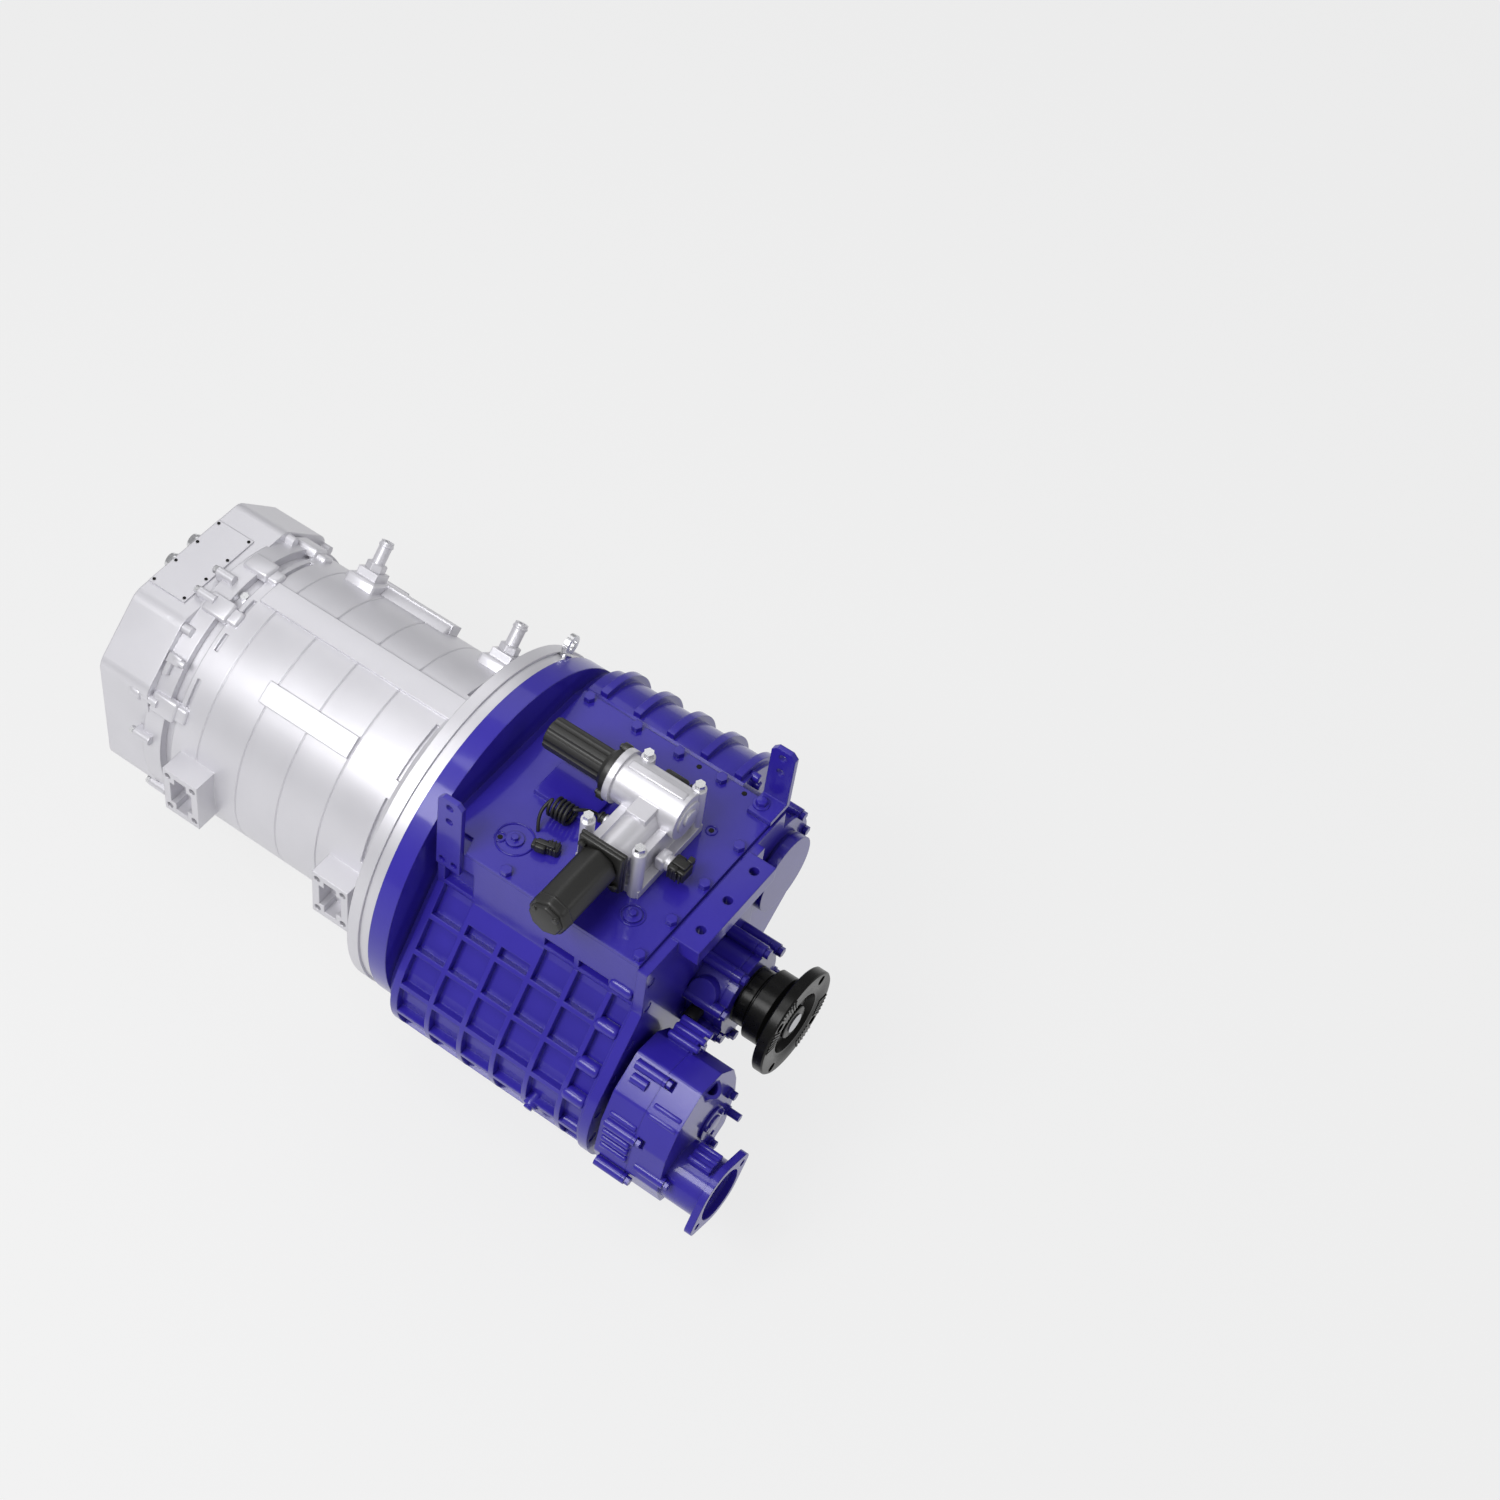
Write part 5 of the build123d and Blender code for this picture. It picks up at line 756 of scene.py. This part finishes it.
def output_flange():
    shape = bmesh.new()
    profile = SEAL_RING + HUB + RIM + RECESS + [(-13, BORE_RADIUS), (-77, BORE_RADIUS)]
    turned(shape, profile, (FLANGE_FACE, 0, 0), steps=96)
    flange = finished(shape, "output_flange_forging", "phosphated_steel", body=body_of["output_flange"],
                      stands_for=["output_flange"])
    cutters = bmesh.new()
    for k in range(4):
        angle = radians(45 + 90 * k)
        y, z = HOLE_CIRCLE * cos(angle), HOLE_CIRCLE * sin(angle)
        rod_between(cutters, (505, y, z), (530, y, z), HOLE_RADIUS)
    cut_away(flange, cutters)
    return flange


flange = output_flange()
print("flange has", len(flange.data.polygons), "faces")


# %% Cross teeth on two sectors of the face
SECTOR_MIDDLES = (-45, 135)
TOOTH_STEP = 4.6
TOOTH_SIZE = (1.8, 2.6, 20)
TOOTH_CIRCLE = 69.0


def face_teeth():
    """Teeth from side to side of each sector, except where a bolt hole lies in its middle."""
    shape = bmesh.new()
    steps = [k for k in range(-7, 8) if abs(k) >= 2]
    for angle in (radians(middle + TOOTH_STEP * k) for middle in SECTOR_MIDDLES for k in steps):
        scale = Matrix.Diagonal((*(mm(side) for side in TOOTH_SIZE), 1))
        tooth = bmesh.ops.create_cube(shape, size=1.0, matrix=scale)
        spot = at(FLANGE_FACE + 0.4, TOOTH_CIRCLE * cos(angle), TOOTH_CIRCLE * sin(angle))
        turn = Matrix.Rotation(angle - pi / 2, 4, "X")
        bmesh.ops.transform(shape, matrix=Matrix.Translation(spot) @ turn, verts=tooth["verts"])
    return finished(shape, "flange_teeth", "phosphated_steel", body=body_of["output_flange"])


print("made", face_teeth().name)


# %% Nut and washer in the recess
def flange_nut():
    shape = bmesh.new()
    washer = (513, 517, 36.0, 64, 1.0)
    nut = (516, 523, 26.0, 64, 1.5)
    shaft_end = (522, 524, 12.0, 32, 0.8)
    rods_along(shape, 0, 0, washer, nut, shaft_end)
    return finished(shape, "flange_nut", "phosphated_steel", body=body_of["output_nut"],
                    stands_for=["output_nut"])


print("made", flange_nut().name)

# %% [markdown]
# ## Hose nozzles
# Each coolant nozzle screws into its boss with a hexagon and has a raised bead at its mouth that
# stops the hose from slipping off. Both nozzles stand out from the motor at the same angle, so one
# function turns a radius and an angle into a place.

# %% Hexagons and beads on the nozzles
NOZZLE_STATIONS = (-97.0, -340.0)
NOZZLE_ANGLE = 42
HEXAGON_START, HEXAGON_END, BEAD_START = 232, 242, 268
HOSE_BEAD = [(0, 9.8), (0.5, 11), (2, 11.6), (3.5, 11), (5, 9.8)]


def around_axis(x, radius, angle):
    """The place at a radius from the main axis and an angle in degrees from straight up."""
    return (x, radius * sin(radians(angle)), radius * cos(radians(angle)))


def nozzle_trim():
    shape = bmesh.new()
    out = around_axis(0, 1, NOZZLE_ANGLE)
    for x in NOZZLE_STATIONS:
        reaches = (HEXAGON_START, HEXAGON_END, BEAD_START)
        seat, top, mouth = (around_axis(x, reach, NOZZLE_ANGLE) for reach in reaches)
        rod_between(shape, seat, top, 15.0, sides=6, rounding=0.8)
        turned(shape, HOSE_BEAD, mouth, axis=out, steps=40)
    return finished(shape, "nozzle_trim", "bare_cast_aluminium")


print("made", nozzle_trim().name)

# %% [markdown]
# ## Metal copies
# The three cable glands behind the terminal cover are nickel-plated, which looks so much like zinc
# that they share its finish. The signal plug on the rim has a small cast shell, and the screws of
# the terminal cover are black. The CAD solids have the right form for all of them, but their edges
# are sharp, so each gets a copy with its edges bevelled.

# %% Glands, signal plug and screws
def metal_copy(node, name, slot):
    """A merged copy of a CAD solid with softened edges and another finish."""
    mesh = frame["nodes"][node].data.copy()
    shape = bmesh.new()
    shape.from_mesh(mesh)
    bmesh.ops.remove_doubles(shape, verts=shape.verts, dist=1e-6)
    bmesh.ops.dissolve_limit(shape, angle_limit=radians(0.6), verts=shape.verts, edges=shape.edges)
    round_edges(shape, list(shape.verts), 0.8, steps=2, sharp=35.0)
    return finished(shape, name, slot, body=body_of[node], stands_for=[node])


print("made", metal_copy("cable_glands", "gland_bodies", "zinc_plated_steel").name)
print("made", metal_copy("signal_connector", "signal_plug_shell", "bare_cast_aluminium").name)
print("made", metal_copy("terminal_screws", "terminal_screw_heads", "phosphated_steel").name)

# %% [markdown]
# ## Small cast detail on the motor
# A casting carries bosses where bolts go in, and pads where a pipe or a bracket sits. They could be
# joined to the casting with a Boolean, but a separate piece sunk into it looks the same and keeps
# both meshes clean. Each is a block or a rod with rounded edges. Blocks round the motor are tilted
# to lie flat on it.

# %% Ears between the end cover bolts
EAR_ANGLES = (-62, -17, 8, 40)
EAR_HIGH = 16
# Each ear is two blocks: the start and end along the shafts, the width and the radius of each.
EAR_BLOCKS = ((-468, -424, 32, 209), (-436, -408, 24, 204))


def tilted_block(shape, middle, size, tilt, rounding):
    """A block round its middle, turned about the line of the shafts by an angle in degrees."""
    place = Matrix.Translation(at(*middle)) @ Matrix.Rotation(radians(tilt), 4, "X")
    scale = Matrix.Diagonal((*(mm(side) for side in size), 1))
    made = bmesh.ops.create_cube(shape, size=1.0, matrix=place @ scale)
    round_edges(shape, made["verts"], rounding)


def shield_ears():
    shape = bmesh.new()
    for angle in EAR_ANGLES:
        for low, high, width, radius in EAR_BLOCKS:
            middle = around_axis((low + high) / 2, radius, angle)
            tilted_block(shape, middle, (high - low, width, EAR_HIGH), -angle, 4.0)
    return finished(shape, "shield_ears", "bare_cast_aluminium")


print("made", shield_ears().name)


# %% Blind bosses at the cover's shoulders
SHOULDERS = ((-189.5, 101), (189.5, 101))


def shoulder_bosses():
    """Each boss also closes the side of a bolt pocket that opens through the cover's shoulder."""
    shape = bmesh.new()
    for y, z in SHOULDERS:
        rod_between(shape, (-504, y, z), (-483, y, z), 11.0, rounding=4.0)
    return finished(shape, "shoulder_bosses", "bare_cast_aluminium")


print("made", shoulder_bosses().name)


# %% Seats of the nozzles and the ramp beside the rear band
SEAT_SIZE = (52, 58, 40)
SEAT_RADIUS = 198
RAMP_SIZE = (118, 26, 14)
RAMP_MIDDLE = around_axis(-255.5, 206, 44.5)
RAMP_TILT = -6


def motor_pads():
    shape = bmesh.new()
    for x in NOZZLE_STATIONS:
        middle = around_axis(x, SEAT_RADIUS, NOZZLE_ANGLE)
        tilted_block(shape, middle, SEAT_SIZE, -NOZZLE_ANGLE, 5.0)
    tilted_block(shape, RAMP_MIDDLE, RAMP_SIZE, RAMP_TILT, 3.0)
    return finished(shape, "motor_pads", "bare_cast_aluminium")


print("made", motor_pads().name)

# %% [markdown]
# ## Small cast detail on the gearbox
# The gearbox casting has raised rings round its oil plugs and screws, round bosses along the rear
# rim, and ridges that stiffen the take-off and its pump. A ring is a spun profile. Bosses and
# ridges are rods, half sunk into the casting, so that only a rounded back stands out. The bearing
# cover and the end disc of the shift barrel are rods too, a narrow one set on a wide one.

# %% Rings and grub screws on the cover
COVER_TOP = 200
# Each ring has a place on the cover and an outer radius: two round the oil plugs, two round screws.
COVER_RINGS = ((124, -119, 28), (318, -119, 18), (106, -128, 9), (318, 60, 9))
GRUB_SCREWS = ((242.7, 138.1), (316.6, 139.4), (106, -128), (318, 60))


def cover_rings():
    shape = bmesh.new()
    for x, y, radius in COVER_RINGS:
        crown = [(1.4, radius - 2.4), (1.8, radius - 1.4), (1.4, radius - 0.4)]
        profile = [(-1, radius - 3), *crown, (-1, radius), (-1, radius - 3)]
        turned(shape, profile, (x, y, COVER_TOP), axis=(0, 0, 1), steps=48)
    return finished(shape, "cover_rings", "blue_enamel")


def grub_screws():
    shape = bmesh.new()
    for x, y in GRUB_SCREWS:
        rod_between(shape, (x, y, COVER_TOP - 2), (x, y, COVER_TOP + 0.4), 3.8, sides=24)
    return finished(shape, "grub_screws", "phosphated_steel")


print("made", cover_rings().name, "and", grub_screws().name)


# %% Ridges on the take-off and its pump
# Each group of ridges is one rod, as rods_along takes it, and the places (y, z) where it lies.
RIDGES = (
    ((414, 463, 5.0, 32, 1.5), ((-147, 47), (-132, 47), (-117, 47))),
    ((406, 449, 5.5, 32, 1.5), ((-258, -25), (-272, -52), (-273, -68), (-274, -84))),
    ((456, 500, 5.0, 32, 1.5), ((-232, 12), (-243, 2))),
    ((519, 555, 4.0, 32, 1.2), ((-231, -57), (-218, -57), (-206, -57))),
)


def take_off_ridges():
    shape = bmesh.new()
    for rod, places in RIDGES:
        for y, z in places:
            rods_along(shape, y, z, rod)
    return finished(shape, "take_off_ridges", "blue_enamel", body=body_of["pto_housing"])


print("made", take_off_ridges().name)


# %% Bosses on the gearbox case
RIM_BOSSES = ((-174, 125), (-200, 58), (-236, 6), (-262, -38))
BULGE_BOSSES = ((186, 168), (180, 190))
PLUG_X = 289


def case_bosses():
    shape = bmesh.new()
    for y, z in RIM_BOSSES:
        rods_along(shape, y, z, (332, 369, 11.0, 32, 5.0))
    for y, z in BULGE_BOSSES:
        rods_along(shape, y, z, (300, 316, 6.5, 32, 2.0))
    rod_between(shape, (PLUG_X, -240, -92), (PLUG_X, -280, -105.5), 10.5, rounding=1.5)
    rod_between(shape, (PLUG_X, -279, -105), (PLUG_X, -284, -106.7), 7.0, sides=6, rounding=0.6)
    return finished(shape, "case_bosses", "blue_enamel")


print("made", case_bosses().name)


# %% Bolt on the foot of the right bracket
FOOT_X, FOOT_Y = 347, 134


def bracket_bolt():
    shape = bmesh.new()
    rod_between(shape, (FOOT_X, FOOT_Y, 207), (FOOT_X, FOOT_Y, 210), 12.0, rounding=0.8)
    rod_between(shape, (FOOT_X, FOOT_Y, 209), (FOOT_X, FOOT_Y, 217), 8.5, sides=6, rounding=1.0)
    return finished(shape, "bracket_bolt", "blue_enamel")


print("made", bracket_bolt().name)


# %% Bearing cover on the take-off's face
BEARING_Y, BEARING_Z = -157, -80
BEARING_BOLT_CIRCLE = 21


def bearing_cover():
    shape = bmesh.new()
    rods_along(shape, BEARING_Y, BEARING_Z, (503, 508, 27.0, 48, 1.5), (507, 511, 15.0, 40, 1.2))
    for angle in (radians(30 + 120 * k) for k in range(3)):
        y = BEARING_Y + BEARING_BOLT_CIRCLE * cos(angle)
        z = BEARING_Z + BEARING_BOLT_CIRCLE * sin(angle)
        rods_along(shape, y, z, (507, 512, 4.2, 6, 0.5))
    return finished(shape, "bearing_cover", "blue_enamel", body=body_of["pto_housing"])


print("made", bearing_cover().name)


# %% Web on the right flank
WEB_MIDDLE = (301, 165.2, -56.8)
WEB_SIZE = (26, 9, 108)
WEB_TILT = -40.9


def flank_web():
    """A plate low on the right side of the case. It also closes a narrow slit in the casting."""
    shape = bmesh.new()
    tilted_block(shape, WEB_MIDDLE, WEB_SIZE, WEB_TILT, 1.0)
    return finished(shape, "flank_web", "blue_enamel")


print("made", flank_web().name)


# %% End disc of the shift barrel
def barrel_disc():
    shape = bmesh.new()
    rods_along(shape, MOTOR_Y, MOTOR_Z, (301, 305, 24.0, 48, 1.5), (304, 308, 13.0, 40, 1.2))
    slab(shape, (206, 10, 294), (296, 24, 299), 2.0)
    return finished(shape, "barrel_disc", "bare_cast_aluminium", body=body_of["shift_actuator_body"])


print("made", barrel_disc().name)

# %% [markdown]
# ## Floor and light
# The picture shows the unit from above and to one side in even studio light, on a pale ground.
# The floor is a wide pale plane. To the camera and in reflections it mostly glows with its own
# colour, so the ground looks even and keeps only a trace of the shadow. The world gives the even
# part of the light. Of four softboxes, a strong one over the left side gives the motor its broad
# white band, and weaker ones above, behind and to the right lift the other sides.

# %% Pale floor
FLOOR_GREY = "#F1F1F1"
FLOOR_GLOW = 0.9


def pale_floor():
    material, tree = new_finish("pale_floor")
    rays = add(tree, "ShaderNodeLightPath", {})
    seen = add(tree, "ShaderNodeMath", {0: rays.outputs["Is Camera Ray"],
                                        1: rays.outputs["Is Glossy Ray"]}, operation="ADD")
    seen = add(tree, "ShaderNodeMath", {0: seen.outputs["Value"], 1: rays.outputs["Is Transmission Ray"]},
               operation="ADD", use_clamp=True)
    share = add(tree, "ShaderNodeMath", {0: seen.outputs["Value"], 1: FLOOR_GLOW}, operation="MULTIPLY")
    matt = add(tree, "ShaderNodeBsdfDiffuse", {"Color": linear(FLOOR_GREY)})
    even = add(tree, "ShaderNodeEmission", {"Color": linear(FLOOR_GREY)})
    both = add(tree, "ShaderNodeMixShader", {0: share.outputs["Value"], 1: matt.outputs["BSDF"],
                                             2: even.outputs["Emission"]})
    add(tree, "ShaderNodeOutputMaterial", {"Surface": both.outputs["Shader"]})
    shape = bmesh.new()
    bmesh.ops.create_grid(shape, x_segments=1, y_segments=1, size=8.0)
    mesh = bpy.data.meshes.new("floor")
    shape.to_mesh(mesh)
    shape.free()
    floor = bpy.data.objects.new("floor", mesh)
    floor.location.z = cad_box[0][2] - 0.001
    bpy.context.scene.collection.objects.link(floor)
    floor.data.materials.append(material)
    return floor


floor = pale_floor()
print("floor at", round(floor.location.z, 3))


# %% Studio light
MIDDLE = at(0, 0, 0)
WORLD_STRENGTH = 0.40
# Each softbox has a place and a size in metres, and a power in watts.
SOFTBOXES = (
    ("back_top", (-1.7, 1.3, 2.1), (1.7, 1.1), 6.5),
    ("top", (-0.9, -0.5, 2.7), (1.1, 0.8), 11.0),
    ("left_front", (-0.9, -1.8, 2.2), (1.5, 1.0), 47.0),
    ("right_front", (1.7, 0.7, 1.5), (0.8, 0.8), 4.0),
)


def studio_world():
    world = bpy.data.worlds.new("studio")
    world.use_nodes = True
    sky = world.node_tree.nodes["Background"]
    sky.inputs["Color"].default_value = linear("#F4F4F6")
    sky.inputs["Strength"].default_value = WORLD_STRENGTH
    bpy.context.scene.world = world


def softbox(name, place, size, power):
    """A rectangular lamp that faces the unit."""
    lamp = bpy.data.lights.new(name, "AREA")
    lamp.shape = "RECTANGLE"
    lamp.size, lamp.size_y = size
    lamp.energy = power
    holder = bpy.data.objects.new(name, lamp)
    holder.location = place
    holder.rotation_euler = (MIDDLE - Vector(place)).to_track_quat("-Z", "Y").to_euler()
    bpy.context.scene.collection.objects.link(holder)


studio_world()
for row in SOFTBOXES:
    softbox(*row)
print(len(SOFTBOXES), "softboxes and a pale world")

# %% [markdown]
# ## Camera
# The photograph was taken from high up, about 54 degrees above the level, and 35 degrees round
# from the take-off's side towards the flange, with a longish lens. Its lines run together as if it
# were cropped from a wider picture, so the lens is shifted rather than turned.

# %% Camera at the photograph's angle
PICTURE = 1500.0
FOCAL_PIXELS = 2742.07
PRINCIPAL = (475.95, 883.36)
CAMERA_PLACE = (1347.5, -1921.3, 3126.4)
AZIMUTH, ELEVATION, ROLL = 35.4476, 54.3015, 3.1972


def photo_camera():
    lens = bpy.data.cameras.new("photo_camera")
    lens.sensor_width = 36.0
    lens.lens = 36.0 * FOCAL_PIXELS / PICTURE
    lens.shift_x = 0.5 - PRINCIPAL[0] / PICTURE
    lens.shift_y = PRINCIPAL[1] / PICTURE - 0.5
    lens.clip_start, lens.clip_end = 0.05, 60.0
    camera = bpy.data.objects.new("photo_camera", lens)
    bpy.context.scene.collection.objects.link(camera)
    turn = Matrix.Rotation(radians(AZIMUTH), 4, "Z") @ Matrix.Rotation(radians(90 - ELEVATION), 4, "X")
    roll = Matrix.Rotation(radians(ROLL), 4, "Z")
    camera.matrix_world = Matrix.Translation(at(*CAMERA_PLACE)) @ turn @ roll
    bpy.context.scene.camera = camera
    return camera


camera = photo_camera()
bpy.context.scene.view_settings.view_transform = "Standard"
shift = round(camera.data.shift_x, 3), round(camera.data.shift_y, 3)
print("lens", round(camera.data.lens, 1), "mm, shifted by", shift)

# %% [markdown]
# ## The CAD box
# The dressed unit may not outgrow its CAD box, so that box is printed.

# %% Print the CAD box
def plain(box):
    return [[round(float(c), 5) for c in corner] for corner in box]


print("CAD box", plain(cad_box))
